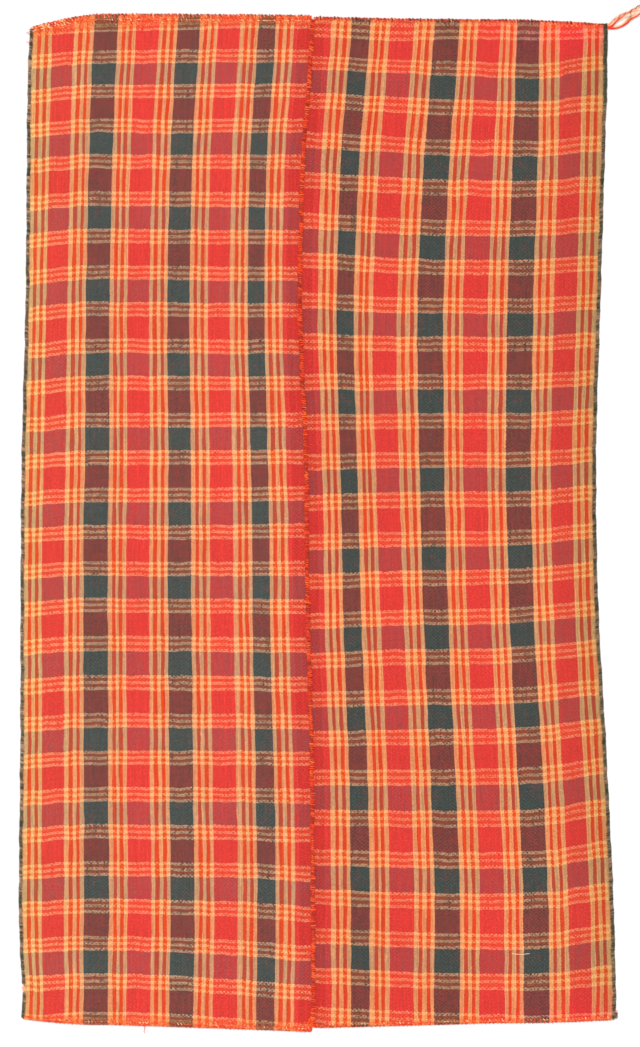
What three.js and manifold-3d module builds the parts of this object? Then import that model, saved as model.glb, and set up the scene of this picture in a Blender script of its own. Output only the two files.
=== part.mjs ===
// A jajim lying flat: two plaid lengths of flat-woven wool, laid edge to edge and joined by a
// yarn seam, with overcast edging down both outer sides and a loose yarn tassel at one corner.
//
// Millimetres, +Z up. +X runs across the cloth from the left panel to the right one, +Y runs up
// the cloth towards the whipped hem, and the cloth rests on z = 0. Places are first given as a
// distance from the left and a distance down from the top hem, as on a cutting sheet.
import * as THREE from "three";
import { mergeVertices } from "three/addons/utils/BufferGeometryUtils.js";
import Module from "manifold-3d";

const CLEARANCE = 0.3;
const EDGING_WIDTH = 6;
const EDGING_HEIGHT = 2.8;
const SEAM_WIDTH = 8.6;
const SEAM_HEIGHT = 3.2;

const CLOTH = {
  width: 590,
  length: 2060,
  thickness: 2,
  rimThickness: 1.7,
  rimReach: 9,
  hemThickness: 2.9,
  hemDepth: 13,
  puckerHeight: 0.6,
  puckerReach: 30,
  puckerAcross: 230,
  puckerDown: 310,
};
// The solids' steps: distances kept near the sides and the hems, with even steps in between.
const COLUMNS = { near: [0, 8, 26], even: 18 };
const ROWS = { near: [0, 2, 10, 14, 40], even: 44 };

// Lines that run down the cloth, from the left, at each distance down: the two outer edges, the
// middle of the fourth striped group of each panel, and the seam.
const RUNS = [
  { down: 0, leftEdge: 21, leftMiddle: 304.5, seam: 600.5, rightMiddle: 919.5, rightEdge: 1204 },
  { down: 150, leftEdge: 15.5, leftMiddle: 296, seam: 591.5, rightMiddle: 910, rightEdge: 1203 },
  { down: 300, leftEdge: 14, leftMiddle: 290, seam: 580, rightMiddle: 901, rightEdge: 1198.5 },
  { down: 600, leftEdge: 11, leftMiddle: 283, seam: 574, rightMiddle: 887.5, rightEdge: 1189.5 },
  { down: 900, leftEdge: 3.5, leftMiddle: 285, seam: 586, rightMiddle: 888.5, rightEdge: 1181 },
  { down: 1200, leftEdge: 1, leftMiddle: 283.5, seam: 589.5, rightMiddle: 896, rightEdge: 1185 },
  { down: 1500, leftEdge: 0.5, leftMiddle: 285, seam: 597.5, rightMiddle: 909, rightEdge: 1201.5 },
  { down: 1800, leftEdge: -2.5, leftMiddle: 289, seam: 600.5, rightMiddle: 921.5, rightEdge: 1216 },
  { down: 1900, leftEdge: -1, leftMiddle: 288.5, seam: 601, rightMiddle: 922.5, rightEdge: 1219 },
  { down: 2000, leftEdge: 4.5, leftMiddle: 287.5, seam: 601.5, rightMiddle: 923, rightEdge: 1221.5 },
  { down: 2080, leftEdge: 1.5, leftMiddle: 288, seam: 600.5, rightMiddle: 923.5, rightEdge: 1220.5 },
];

// Each panel's weft groups are counted from the top hem. A row gives how far down one of them
// lies in the body of the panel, and how much lower it lies at the seam and at the outer edge.
// The hems give the count at which the cloth ends, with what is added at the seam and the edge.
const LEFT_PANEL = {
  name: "panel_left",
  side: -1,
  middleShare: 0.4815,
  seamReach: 420,
  edgeReach: 140,
  groups: [
    { count: 0, body: 12, seam: 0, edge: 12 },
    { count: 4, body: 300, seam: 1, edge: 9 },
    { count: 8, body: 603.5, seam: 2, edge: 10 },
    { count: 12, body: 906.5, seam: -2, edge: 9 },
    { count: 16, body: 1210, seam: 2, edge: 8 },
    { count: 20, body: 1521.5, seam: 3, edge: 8 },
    { count: 24, body: 1828, seam: 15, edge: 5 },
    { count: 27, body: 2056, seam: 29, edge: -3 },
  ],
  topHem: { body: -0.17, seam: 0.04, edge: 0.2 },
  bottomHem: { body: 27.19, seam: -0.19, edge: -0.11 },
};
const RIGHT_PANEL = {
  name: "panel_right",
  side: 1,
  middleShare: 0.4845,
  seamReach: 300,
  edgeReach: 200,
  groups: [
    { count: 0, body: 30.5, seam: -5, edge: -3 },
    { count: 4, body: 354.5, seam: -13, edge: -6 },
    { count: 8, body: 675, seam: -6, edge: -8 },
    { count: 12, body: 994, seam: 7, edge: -11 },
    { count: 16, body: 1314.5, seam: 8, edge: -15 },
    { count: 20, body: 1645.5, seam: -1, edge: -16 },
    { count: 24, body: 1981, seam: -12, edge: -11 },
    { count: 25, body: 2063, seam: -14, edge: -8 },
  ],
  topHem: { body: -0.235, seam: -0.015, edge: 0.15 },
  bottomHem: { body: 25.05, seam: 0.3, edge: 0.02 },
};
const HEM_SEAM_REACH = 360;

// The hems open in a small V where they meet either end of the seam.
const NOTCH = { depth: 12, opening: 1 };

const SEAM_RUN = { from: 11, to: 2074, steps: 64 };
const LEFT_EDGING_RUN = { from: 30, to: 1987, steps: 60 };
const LEFT_EDGING_END_RUN = { from: 2005, to: 2056, steps: 4 };
const RIGHT_EDGING_RUN = { from: 19, to: 2057, steps: 60 };

const TASSEL = {
  strandWidth: 1.1,
  strandHeight: 1.2,
  strandSteps: 22,
  headHeight: 2.8,
  splay: 12,
};
// The tassel's two bundles, as places from the left and down, from the corner outwards.
const UPPER_BUNDLE = [
  { left: 1208.5, down: 22 },
  { left: 1215.7, down: 14.6 },
  { left: 1224, down: 6.8 },
  { left: 1233, down: 0.6 },
  { left: 1252.5, down: -9.2 },
  { left: 1273, down: -20.3 },
  { left: 1293.5, down: -30 },
];
const LOWER_BUNDLE = [
  { left: 1208.5, down: 26 },
  { left: 1220, down: 27 },
  { left: 1229, down: 25.6 },
  { left: 1237.5, down: 21.5 },
  { left: 1252.5, down: 10.5 },
  { left: 1273, down: -1.4 },
  { left: 1291.5, down: -12 },
];
// Lanes lie beside the bundle's middle line; spread is what the far end adds to the lane, and
// share is how much of the bundle's length the strand has.
const STRANDS = [
  { bundle: UPPER_BUNDLE, lane: -4.65, spread: -0.6, share: 0.9 },
  { bundle: UPPER_BUNDLE, lane: -3.1, spread: 0, share: 1 },
  { bundle: UPPER_BUNDLE, lane: -1.55, spread: 0, share: 0.95 },
  { bundle: UPPER_BUNDLE, lane: 0, spread: 0.4, share: 0.98 },
  { bundle: UPPER_BUNDLE, lane: 1.55, spread: 0.8, share: 0.93 },
  { bundle: UPPER_BUNDLE, lane: 3.1, spread: 2.4, share: 0.97 },
  { bundle: UPPER_BUNDLE, lane: 4.65, spread: 4.6, share: 0.9 },
  { bundle: LOWER_BUNDLE, lane: -2.3, spread: -3.4, share: 0.92 },
  { bundle: LOWER_BUNDLE, lane: -0.75, spread: -1, share: 0.98 },
  { bundle: LOWER_BUNDLE, lane: 0.8, spread: 0, share: 1 },
  { bundle: LOWER_BUNDLE, lane: 2.35, spread: 0.4, share: 0.94 },
];
const TASSEL_HEAD = [
  { left: 1203.8, down: 19.5 },
  { left: 1209.5, down: 12.5 },
  { left: 1216, down: 9.5 },
  { left: 1220.5, down: 16 },
  { left: 1220, down: 29.6 },
  { left: 1211, down: 30.6 },
  { left: 1203.8, down: 28.5 },
];

const COLOURS = {
  panel: "#d2503f",
  seam: "#f2511f",
  edging: "#55604f",
  tassel: "#ef7a4a",
};

function wool(colour) {
  return new THREE.MeshStandardMaterial({ color: colour, roughness: 0.95, metalness: 0 });
}

// A smooth line through one column of a table, carried on straight past both ends.
function follow(table, key, column, at) {
  const last = table.length - 1;
  const slopeAt = (row) => {
    const before = table[Math.max(row - 1, 0)];
    const after = table[Math.min(row + 1, last)];
    return (after[column] - before[column]) / (after[key] - before[key]);
  };
  let row = 0;
  while (row < last - 1 && table[row + 1][key] < at) {
    row += 1;
  }
  const from = table[row];
  const to = table[row + 1];
  const span = to[key] - from[key];
  const share = THREE.MathUtils.clamp((at - from[key]) / span, 0, 1);
  const left = 1 - share;
  const bend = share * left * span * (left * slopeAt(row) - share * slopeAt(row + 1));
  const blend = share * share * (3 - 2 * share);
  const above = Math.min(at - table[0][key], 0) * slopeAt(0);
  const below = Math.max(at - table[last][key], 0) * slopeAt(last);
  return from[column] + (to[column] - from[column]) * blend + bend + above + below;
}

function runAt(column, down) {
  return follow(RUNS, "down", column, down);
}

// One near the line that it is measured from, falling smoothly to nothing at the reach.
function fade(distance, reach) {
  const left = 1 - Math.min(Math.max(distance / reach, 0), 1);
  return left ** 1.5;
}

// Where the woven part of a panel begins and ends across, at a distance down.
function clothSides(panel, down, fromHem) {
  const notch = NOTCH.opening * fade(fromHem, NOTCH.depth);
  const outerRun = panel.side < 0 ? "leftEdge" : "rightEdge";
  const middleRun = panel.side < 0 ? "leftMiddle" : "rightMiddle";
  return {
    outer: runAt(outerRun, down) - panel.side * (EDGING_WIDTH + CLEARANCE),
    middle: runAt(middleRun, down),
    seam: runAt("seam", down) + panel.side * (SEAM_WIDTH / 2 + CLEARANCE + notch),
  };
}

// The place in the photographed lie of a point of the cloth: across is 0 at the outer edge and 1
// at the seam, and count runs down the cloth in weft groups.
function layPoint(panel, across, count, fromHem) {
  const down =
    follow(panel.groups, "count", "body", count) +
    follow(panel.groups, "count", "seam", count) * fade((1 - across) * CLOTH.width, panel.seamReach) +
    follow(panel.groups, "count", "edge", count) * fade(across * CLOTH.width, panel.edgeReach);
  const sides = clothSides(panel, down, fromHem);
  const middle = panel.middleShare;
  const left =
    sides.outer * ((across - middle) * (across - 1)) / middle +
    sides.middle * (across * (across - 1)) / (middle * (middle - 1)) +
    sides.seam * (across * (across - middle)) / (1 - middle);
  return { left, down };
}

// How many weft groups down the cloth ends, at a share of the way across.
function hemCount(panel, hem, across) {
  const atSeam = hem.seam * fade((1 - across) * CLOTH.width, HEM_SEAM_REACH);
  const atEdge = hem.edge * fade(across * CLOTH.width, panel.edgeReach);
  return hem.body + atSeam + atEdge;
}

// The cloth is thin at its cut sides, doubled in the hems, and slightly puckered in between.
function clothHeight(left, down, fromHem, fromSide) {
  const hem = CLOTH.hemThickness - CLOTH.thickness;
  const doubled = fromHem < CLOTH.hemDepth ? hem * (fromHem > 1 ? 1 : 0.5) : 0;
  const rim = (CLOTH.thickness - CLOTH.rimThickness) * fade(fromSide, CLOTH.rimReach);
  const across = Math.sin((2 * Math.PI * left) / CLOTH.puckerAcross);
  const along = Math.sin((2 * Math.PI * down) / CLOTH.puckerDown);
  const inside = (1 - fade(fromSide, CLOTH.puckerReach)) * (1 - fade(fromHem, CLOTH.puckerReach));
  const pucker = (CLOTH.puckerHeight / 2) * (1 + across * along) * inside;
  return CLOTH.thickness - rim + doubled + pucker;
}

// Shares from 0 to 1, even in the middle, with the given distances kept near both ends.
function unevenShares(length, steps) {
  const near = steps.near.map((distance) => distance / length);
  const start = near[near.length - 1];
  const shares = near.slice(0, -1);
  for (let step = 0; step <= steps.even; step += 1) {
    shares.push(start + ((1 - 2 * start) * step) / steps.even);
  }
  return shares.concat(near.slice(0, -1).reverse().map((share) => 1 - share));
}

// A closed solid over a grid of places: a raised top, a flat underside and the sides between.
function sheetGeometry(grid, mirrored) {
  const rows = grid.length;
  const columns = grid[0].length;
  const points = [];
  for (const height of ["top", "underside"]) {
    for (const row of grid) {
      for (const place of row) {
        points.push(place.left, -place.down, height === "top" ? place.height : 0);
      }
    }
  }
  const faces = [];
  const addQuad = (a, b, c, d) => {
    faces.push(...(mirrored ? [a, c, b, a, d, c] : [a, b, c, a, c, d]));
  };
  const under = rows * columns;
  const at = (row, column) => row * columns + column;
  for (let row = 0; row + 1 < rows; row += 1) {
    for (let column = 0; column + 1 < columns; column += 1) {
      const corners = [at(row, column), at(row + 1, column), at(row + 1, column + 1), at(row, column + 1)];
      addQuad(...corners);
      addQuad(...corners.map((corner) => corner + under).reverse());
    }
  }
  const rim = [];
  for (let column = 0; column + 1 < columns; column += 1) {
    rim.push(at(0, column));
  }
  for (let row = 0; row + 1 < rows; row += 1) {
    rim.push(at(row, columns - 1));
  }
  for (let column = columns - 1; column > 0; column -= 1) {
    rim.push(at(rows - 1, column));
  }
  for (let row = rows - 1; row > 0; row -= 1) {
    rim.push(at(row, 0));
  }
  rim.forEach((corner, index) => {
    const next = rim[(index + 1) % rim.length];
    addQuad(corner, next, next + under, corner + under);
  });
  return closedGeometry(points, faces);
}

function closedGeometry(points, faces) {
  const geometry = new THREE.BufferGeometry();
  geometry.setAttribute("position", new THREE.Float32BufferAttribute(points, 3));
  geometry.setIndex(faces);
  geometry.computeVertexNormals();
  return geometry;
}

function panelGeometry(panel) {
  const columns = unevenShares(CLOTH.width, COLUMNS);
  const rows = unevenShares(CLOTH.length, ROWS);
  const grid = rows.map((share) =>
    columns.map((across) => {
      const top = hemCount(panel, panel.topHem, across);
      const bottom = hemCount(panel, panel.bottomHem, across);
      const fromHem = Math.min(share, 1 - share) * CLOTH.length;
      const fromSide = Math.min(across, 1 - across) * CLOTH.width;
      const place = layPoint(panel, across, top + (bottom - top) * share, fromHem);
      return { ...place, height: clothHeight(place.left, place.down, fromHem, fromSide) };
    }),
  );
  return sheetGeometry(grid, panel.side > 0);
}

// A band of yarn lying on the floor along a line of places, flat below and crowned above.
function cordGeometry(places, width, height, endShare) {
  const section = [
    { out: -0.42, up: 0 },
    { out: 0.42, up: 0 },
    { out: 0.5, up: 0.3 },
    { out: 0.42, up: 0.72 },
    { out: 0.2, up: 1 },
    { out: -0.2, up: 1 },
    { out: -0.42, up: 0.72 },
    { out: -0.5, up: 0.3 },
  ];
  return sweptGeometry(places, section, width, height, endShare);
}

// Sweeps a section along places in the plane. The section runs anticlockwise as seen looking
// back along the line; endShare is how wide both ends are, against the rest.
function sweptGeometry(places, section, width, height, endShare) {
  const points = [];
  const faces = [];
  const sides = section.length;
  const last = places.length - 1;
  places.forEach((place, index) => {
    const before = places[Math.max(index - 1, 0)];
    const after = places[Math.min(index + 1, last)];
    const ahead = new THREE.Vector2(after.left - before.left, before.down - after.down).normalize();
    const size = index === 0 || index === last ? endShare : 1;
    for (const corner of section) {
      const out = corner.out * width * size;
      points.push(place.left + ahead.y * out, -place.down - ahead.x * out, corner.up * height * size);
    }
  });
  for (let index = 0; index < last; index += 1) {
    for (let side = 0; side < sides; side += 1) {
      const a = index * sides + side;
      const b = index * sides + ((side + 1) % sides);
      faces.push(a, b + sides, b, a, a + sides, b + sides);
    }
  }
  for (let side = 1; side + 1 < sides; side += 1) {
    const end = last * sides;
    faces.push(0, side, side + 1, end, end + side + 1, end + side);
  }
  return closedGeometry(points, faces);
}

// Even steps down one of the long lines, moved sideways by a fixed amount.
function stepsDown(run, column, sideways) {
  const places = [];
  for (let step = 0; step <= run.steps; step += 1) {
    const down = run.from + ((run.to - run.from) * step) / run.steps;
    places.push({ left: runAt(column, down) + sideways, down });
  }
  return places;
}

function seamGeometry() {
  return cordGeometry(stepsDown(SEAM_RUN, "seam", 0), SEAM_WIDTH, SEAM_HEIGHT, 0.75);
}

function edgingGeometry(run, column, side) {
  const places = stepsDown(run, column, (-side * EDGING_WIDTH) / 2);
  return cordGeometry(places, EDGING_WIDTH, EDGING_HEIGHT, 0.8);
}

// One tassel strand: it leaves the head in its lane and may swing away from it further out.
function strandPlaces(strand) {
  const curve = new THREE.CatmullRomCurve3(
    strand.bundle.map((place) => new THREE.Vector3(place.left, -place.down, 0)),
  );
  const places = [];
  for (let step = 0; step <= TASSEL.strandSteps; step += 1) {
    const share = (strand.share * step) / TASSEL.strandSteps;
    const point = curve.getPointAt(share);
    const ahead = curve.getTangentAt(share);
    const gathered = 0.5 + 0.5 * THREE.MathUtils.smoothstep(share * curve.getLength(), 0, TASSEL.splay);
    const lane = strand.lane * gathered + strand.spread * THREE.MathUtils.smoothstep(share, 0.45, 1);
    places.push({ left: point.x + ahead.y * lane, down: -(point.y - ahead.x * lane) });
  }
  return places;
}

function strandGeometry(strand) {
  const section = [
    { out: -0.5, up: 0 },
    { out: 0.5, up: 0 },
    { out: 0.36, up: 1 },
    { out: -0.36, up: 1 },
  ];
  return sweptGeometry(strandPlaces(strand), section, TASSEL.strandWidth, TASSEL.strandHeight, 0.7);
}

function headGeometry() {
  const outline = new THREE.Shape(TASSEL_HEAD.map((place) => new THREE.Vector2(place.left, -place.down)));
  return new THREE.ExtrudeGeometry(outline, { depth: TASSEL.headHeight, bevelEnabled: false });
}

// The head and its strands as one closed body.
async function tasselGeometry() {
  const wasm = await Module();
  wasm.setup();
  const toSolid = (geometry) => {
    const bare = geometry.clone();
    bare.deleteAttribute("normal");
    bare.deleteAttribute("uv");
    const merged = mergeVertices(bare);
    return new wasm.Manifold(
      new wasm.Mesh({
        numProp: 3,
        vertProperties: Float32Array.from(merged.attributes.position.array),
        triVerts: Uint32Array.from(merged.index.array),
      }),
    );
  };
  let tassel = toSolid(headGeometry());
  for (const strand of STRANDS) {
    tassel = tassel.add(toSolid(strandGeometry(strand)));
  }
  const mesh = tassel.getMesh();
  return closedGeometry(Array.from(mesh.vertProperties), Array.from(mesh.triVerts));
}

function namedMesh(name, geometry, colour) {
  const mesh = new THREE.Mesh(geometry, wool(colour));
  mesh.name = name;
  return mesh;
}

function seamAndEdgings() {
  const trim = new THREE.Group();
  trim.add(namedMesh("joining_seam", seamGeometry(), COLOURS.seam));
  const edgings = [
    { name: "edging_left", run: LEFT_EDGING_RUN, column: "leftEdge", side: -1 },
    { name: "edging_left_end", run: LEFT_EDGING_END_RUN, column: "leftEdge", side: -1 },
    { name: "edging_right", run: RIGHT_EDGING_RUN, column: "rightEdge", side: 1 },
  ];
  for (const edging of edgings) {
    const geometry = edgingGeometry(edging.run, edging.column, edging.side);
    trim.add(namedMesh(edging.name, geometry, COLOURS.edging));
  }
  return trim;
}

async function buildJajim() {
  const cloth = new THREE.Group();
  for (const panel of [LEFT_PANEL, RIGHT_PANEL]) {
    cloth.add(namedMesh(panel.name, panelGeometry(panel), COLOURS.panel));
  }
  cloth.add(seamAndEdgings());
  cloth.add(namedMesh("corner_tassel", await tasselGeometry(), COLOURS.tassel));

  const box = new THREE.Box3().setFromObject(cloth);
  const centre = box.getCenter(new THREE.Vector3());
  cloth.position.set(-centre.x, -centre.y, -box.min.z);
  const jajim = new THREE.Group();
  jajim.add(cloth);
  return jajim;
}

export default await buildJajim();
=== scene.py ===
"""A jajim laid flat: two plaid loom widths of wool twill, sewn side by side with orange yarn.

Places on the cloth are given as on a cutting sheet, in millimetres from the left and down from
the top hem, and turned into metres in the frame by the Ground class.
"""

import logging
import math
import random
from dataclasses import dataclass, field
from enum import Enum

import bpy
import numpy as np
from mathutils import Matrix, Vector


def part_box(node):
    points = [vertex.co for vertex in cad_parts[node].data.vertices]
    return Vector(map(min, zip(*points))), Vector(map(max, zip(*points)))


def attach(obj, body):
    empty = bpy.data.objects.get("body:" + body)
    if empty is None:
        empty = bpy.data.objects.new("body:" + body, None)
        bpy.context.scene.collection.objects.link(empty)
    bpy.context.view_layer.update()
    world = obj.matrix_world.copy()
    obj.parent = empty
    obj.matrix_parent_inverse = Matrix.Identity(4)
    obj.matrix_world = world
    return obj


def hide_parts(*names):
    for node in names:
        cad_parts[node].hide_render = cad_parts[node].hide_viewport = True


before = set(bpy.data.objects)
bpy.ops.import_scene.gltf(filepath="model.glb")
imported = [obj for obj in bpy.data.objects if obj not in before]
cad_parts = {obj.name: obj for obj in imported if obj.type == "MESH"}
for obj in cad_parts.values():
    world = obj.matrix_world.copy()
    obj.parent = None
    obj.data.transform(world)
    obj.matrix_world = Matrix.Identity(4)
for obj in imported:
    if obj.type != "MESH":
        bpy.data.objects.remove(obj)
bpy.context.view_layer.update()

log = logging.getLogger("jajim")

LIGHT_LEVEL = 1.25
"""How brightly the studio light shows a surface, against the surface's own colour."""

Socket, Tree, Node = bpy.types.NodeSocket, bpy.types.NodeTree, bpy.types.Node
Material, Thing = bpy.types.Material, bpy.types.Object
Colour = tuple[float, float, float, float]
Point = tuple[float, float, float]


def dye(red: int, green: int, blue: int, level: float = LIGHT_LEVEL) -> Colour:
    """Turns a colour as it is seen under the studio light into a surface colour.

    Args:
        red: Red as seen, 0 to 255.
        green: Green as seen, 0 to 255.
        blue: Blue as seen, 0 to 255.
        level: The light level that it is seen under.

    Returns:
        The linear colour with an alpha of one.
    """
    seen = [value / 255 for value in (red, green, blue)]
    linear = [v / 12.92 if v <= 0.04045 else ((v + 0.055) / 1.055) ** 2.4 for v in seen]
    return (linear[0] / level, linear[1] / level, linear[2] / level, 1.0)


RUN_DOWN = (0, 150, 300, 600, 900, 1200, 1500, 1800, 1900, 2000, 2080)
"""Distances down the cloth at which the lines that run down it are given."""


class Run(Enum):
    """A line that runs down the cloth, as its distance from the left at each RUN_DOWN."""

    LEFT_EDGE = (21, 15.5, 14, 11, 3.5, 1, 0.5, -2.5, -1, 4.5, 1.5)
    LEFT_MIDDLE = (304.5, 296, 290, 283, 285, 283.5, 285, 289, 288.5, 287.5, 288)
    SEAM = (600.5, 591.5, 580, 574, 586, 589.5, 597.5, 600.5, 601, 601.5, 600.5)
    RIGHT_MIDDLE = (919.5, 910, 901, 887.5, 888.5, 896, 909, 921.5, 922.5, 923, 923.5)
    RIGHT_EDGE = (1204, 1203, 1198.5, 1189.5, 1181, 1185, 1201.5, 1216, 1219, 1221.5, 1220.5)


def follow(keys: tuple[float, ...], values: tuple[float, ...], at: np.ndarray) -> np.ndarray:
    """Follows a table smoothly, and goes straight on past both of its ends.

    Args:
        keys: The table's keys, in rising order.
        values: The value at each key.
        at: Where to read the table.

    Returns:
        The values there.
    """
    k, v = np.array(keys, float), np.array(values, float)
    last = len(k) - 1
    before, after = np.maximum(np.arange(len(k)) - 1, 0), np.minimum(np.arange(len(k)) + 1, last)
    slope = (v[after] - v[before]) / (k[after] - k[before])
    at = np.asarray(at, float)
    row = np.clip(np.searchsorted(k, at, side="right") - 1, 0, last - 1)
    span = k[row + 1] - k[row]
    share = (at - k[row]) / span
    near = np.clip(share, 0, 1)
    left = 1 - near
    smooth = v[row] + (v[row + 1] - v[row]) * near * near * (3 - 2 * near)
    smooth = smooth + near * left * span * (left * slope[row] - near * slope[row + 1])
    smooth = np.where(share < 0, v[0] + (at - k[0]) * slope[0], smooth)
    return np.where(share > 1, v[-1] + (at - k[-1]) * slope[-1], smooth)


def run_at(run: Run, down: np.ndarray) -> np.ndarray:
    """Reads how far from the left a run lies at a distance down."""
    return follow(RUN_DOWN, run.value, down)


def fade(distance: np.ndarray, reach: float) -> np.ndarray:
    """Falls from one to zero over a reach."""
    return (1 - np.clip(np.asarray(distance, float) / reach, 0, 1)) ** 1.5


PULL_SHARES = (0.04, 0.2, 0.5, 0.75, 0.93)
"""Shares of a panel's width, from its outer side, at which a pull is given."""


@dataclass(frozen=True)
class Pull:
    """How far the cloth was pulled out of true, in millimetres.

    Each row holds a count of weft groups, and the pull there at each of PULL_SHARES.
    """

    rows: tuple[tuple[float, ...], ...]

    def at(self, across: np.ndarray, count: np.ndarray) -> np.ndarray:
        """Reads the pull.

        Args:
            across: Shares of the width.
            count: How many weft groups lie above.

        Returns:
            The pull there.
        """
        keys, *columns = zip(*self.rows)
        total = np.zeros(np.broadcast(across, count).shape)
        for index, column in enumerate(columns):
            peak = np.interp(across, PULL_SHARES, np.eye(len(PULL_SHARES))[index])
            total = total + peak * peak * (3 - 2 * peak) * follow(keys, column, count)
        return total


@dataclass
class Ground:
    """Turns cutting-sheet places into places in the frame."""

    seam_foot: float = 2074.0
    edging_from: float = 30.0
    edging_to: float = 1987.0
    left_origin: float = field(init=False)
    down_origin: float = field(init=False)

    def __post_init__(self) -> None:
        """Finds the sheet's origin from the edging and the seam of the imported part."""
        steps = np.linspace(self.edging_from, self.edging_to, 61)
        outermost = float(run_at(Run.LEFT_EDGE, steps).min())
        self.left_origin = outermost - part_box("edging_left")[0].x * 1000
        self.down_origin = self.seam_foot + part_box("joining_seam")[0].y * 1000

    def place(self, left: np.ndarray, down: np.ndarray, up: np.ndarray) -> np.ndarray:
        """Gives points in metres for places in millimetres.

        Args:
            left: Distances from the left.
            down: Distances down from the top hem.
            up: Heights above the floor.

        Returns:
            One row of x, y and z for each place.
        """
        left, down, up = np.broadcast_arrays(left, down, up)
        x = (left - self.left_origin) / 1000
        y = (self.down_origin - down) / 1000
        return np.stack([x, y, up / 1000], axis=-1).reshape(-1, 3)


GROUND = Ground()


THREAD_HEIGHT = 0.0004
"""How far a thread stands out of the cloth's face, in metres."""


class Nodes:
    """Adds and joins the nodes of one tree."""

    def __init__(self, tree: Tree) -> None:
        """Starts with an empty tree.

        Args:
            tree: The node tree to fill.
        """
        self.tree = tree
        tree.nodes.clear()

    def add(self, kind: str, **settings: object) -> Node:
        """Adds a node.

        Args:
            kind: Blender's name for the node type.
            settings: Properties to set on it.

        Returns:
            The new node.
        """
        node = self.tree.nodes.new(kind)
        for name, value in settings.items():
            setattr(node, name, value)
        return node

    def feed(self, socket: Socket, value: object) -> None:
        """Joins a socket to another one, or sets its own value.

        Args:
            socket: The input socket.
            value: An output socket, or a plain value.
        """
        if isinstance(value, Socket):
            self.tree.links.new(value, socket)
        else:
            socket.default_value = value

    def math(self, operation: str, *values: object) -> Socket:
        """Adds a Math node.

        Args:
            operation: Blender's name for the operation.
            values: Its inputs, sockets or numbers.

        Returns:
            Its output.
        """
        node = self.add("ShaderNodeMath", operation=operation)
        for socket, value in zip(node.inputs, values):
            self.feed(socket, value)
        return node.outputs[0]

    def times(self, first: object, second: object) -> Socket:
        """Multiplies two numbers."""
        return self.math("MULTIPLY", first, second)

    def plus(self, first: object, second: object) -> Socket:
        """Adds two numbers."""
        return self.math("ADD", first, second)

    def minus(self, first: object, second: object) -> Socket:
        """Takes the second number from the first."""
        return self.math("SUBTRACT", first, second)

    def times_plus(self, first: object, second: object, more: object) -> Socket:
        """Multiplies two numbers and adds a third."""
        return self.math("MULTIPLY_ADD", first, second, more)

    def mix(self, share: object, first: object, second: object, blend: str = "MIX") -> object:
        """Mixes two colours.

        Args:
            share: How much of the second one.
            first: The first colour.
            second: The second colour.
            blend: Blender's name for the way of mixing.

        Returns:
            The mixed colour's socket.
        """
        node = self.add("ShaderNodeMix", data_type="RGBA", blend_type=blend)
        node.clamp_factor = True
        self.feed(node.inputs[0], share)
        self.feed(node.inputs[6], first)
        self.feed(node.inputs[7], second)
        return node.outputs[2]

    def vector(self, x: object, y: object, z: object = 0.0) -> Socket:
        """Combines three numbers into a vector's socket."""
        node = self.add("ShaderNodeCombineXYZ")
        for socket, value in zip(node.inputs, (x, y, z)):
            self.feed(socket, value)
        return node.outputs[0]

    def noise(self, vector: object, scale: float, detail: float = 2.0) -> Socket:
        """Adds smooth noise and returns its value's socket."""
        node = self.add("ShaderNodeTexNoise", noise_dimensions="3D")
        self.feed(node.inputs["Vector"], vector)
        node.inputs["Scale"].default_value = scale
        node.inputs["Detail"].default_value = detail
        return node.outputs[0]

    def grey(self, value: object) -> Socket:
        """Turns a brightness into a grey colour's socket."""
        node = self.add("ShaderNodeCombineColor")
        for socket in node.inputs:
            self.feed(socket, value)
        return node.outputs[0]

    def centred_noise(
        self, x: object, y: object, batch: object, detail: float = 1.0
    ) -> Socket:
        """Adds smooth noise on three numbers, which swings round zero."""
        return self.minus(self.noise(self.vector(x, y, batch), 1.0, detail), 0.5)

    def wire(
        self, kind: str, sources: dict[str | int, object], **settings: object
    ) -> Node:
        """Adds a node and feeds its inputs.

        Args:
            kind: Blender's name for the node type.
            sources: What each input gets, a socket or a value, by its name or number.
            settings: Properties to set on the node.

        Returns:
            The new node.
        """
        node = self.add(kind, **settings)
        for name, source in sources.items():
            self.feed(node.inputs[name], source)
        return node

    def ramp(
        self, value: object, stops: list[tuple[float, Colour]], steps: str
    ) -> Node:
        """Adds a colour ramp.

        Args:
            value: What it reads.
            stops: Its places and their colours, from the first to the last.
            steps: Blender's name for how it goes from one to the next.

        Returns:
            The ramp's node.
        """
        node = self.wire("ShaderNodeValToRGB", {0: value})
        node.color_ramp.interpolation = steps
        made = node.color_ramp.elements
        while len(made) > 1:
            made.remove(made[-1])
        made[0].position, made[0].color = stops[0]
        for place, colour in stops[1:]:
            made.new(place).color = colour
        return node

    def nap(
        self, wool: Node, height: object, depth: float, gloss: float, sheen: float
    ) -> Socket:
        """Gives a wool surface its dull gloss, its sheen and the bump of its threads.

        Args:
            wool: The surface's node.
            height: The height of the threads.
            depth: How strongly they stand out.
            gloss: The surface's specular level.
            sheen: How much of its fine hair catches the light.

        Returns:
            The bumped normal's socket.
        """
        for name, value in (("Specular IOR Level", gloss), ("Sheen Weight", sheen),
                            ("Sheen Roughness", 0.5)):
            wool.inputs[name].default_value = value
        sources = {"Strength": depth, "Distance": THREAD_HEIGHT, "Height": height}
        return self.wire("ShaderNodeBump", sources).outputs[0]

    def place_group(self, group: Tree, **values: object) -> Node:
        """Places a shader group.

        Args:
            group: The group's tree.
            values: Its inputs by name, with underscores for spaces.

        Returns:
            The group's node.
        """
        node = self.add("ShaderNodeGroup", node_tree=group)
        for name, value in values.items():
            self.feed(node.inputs[name.replace("_", " ")], value)
        return node


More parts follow.
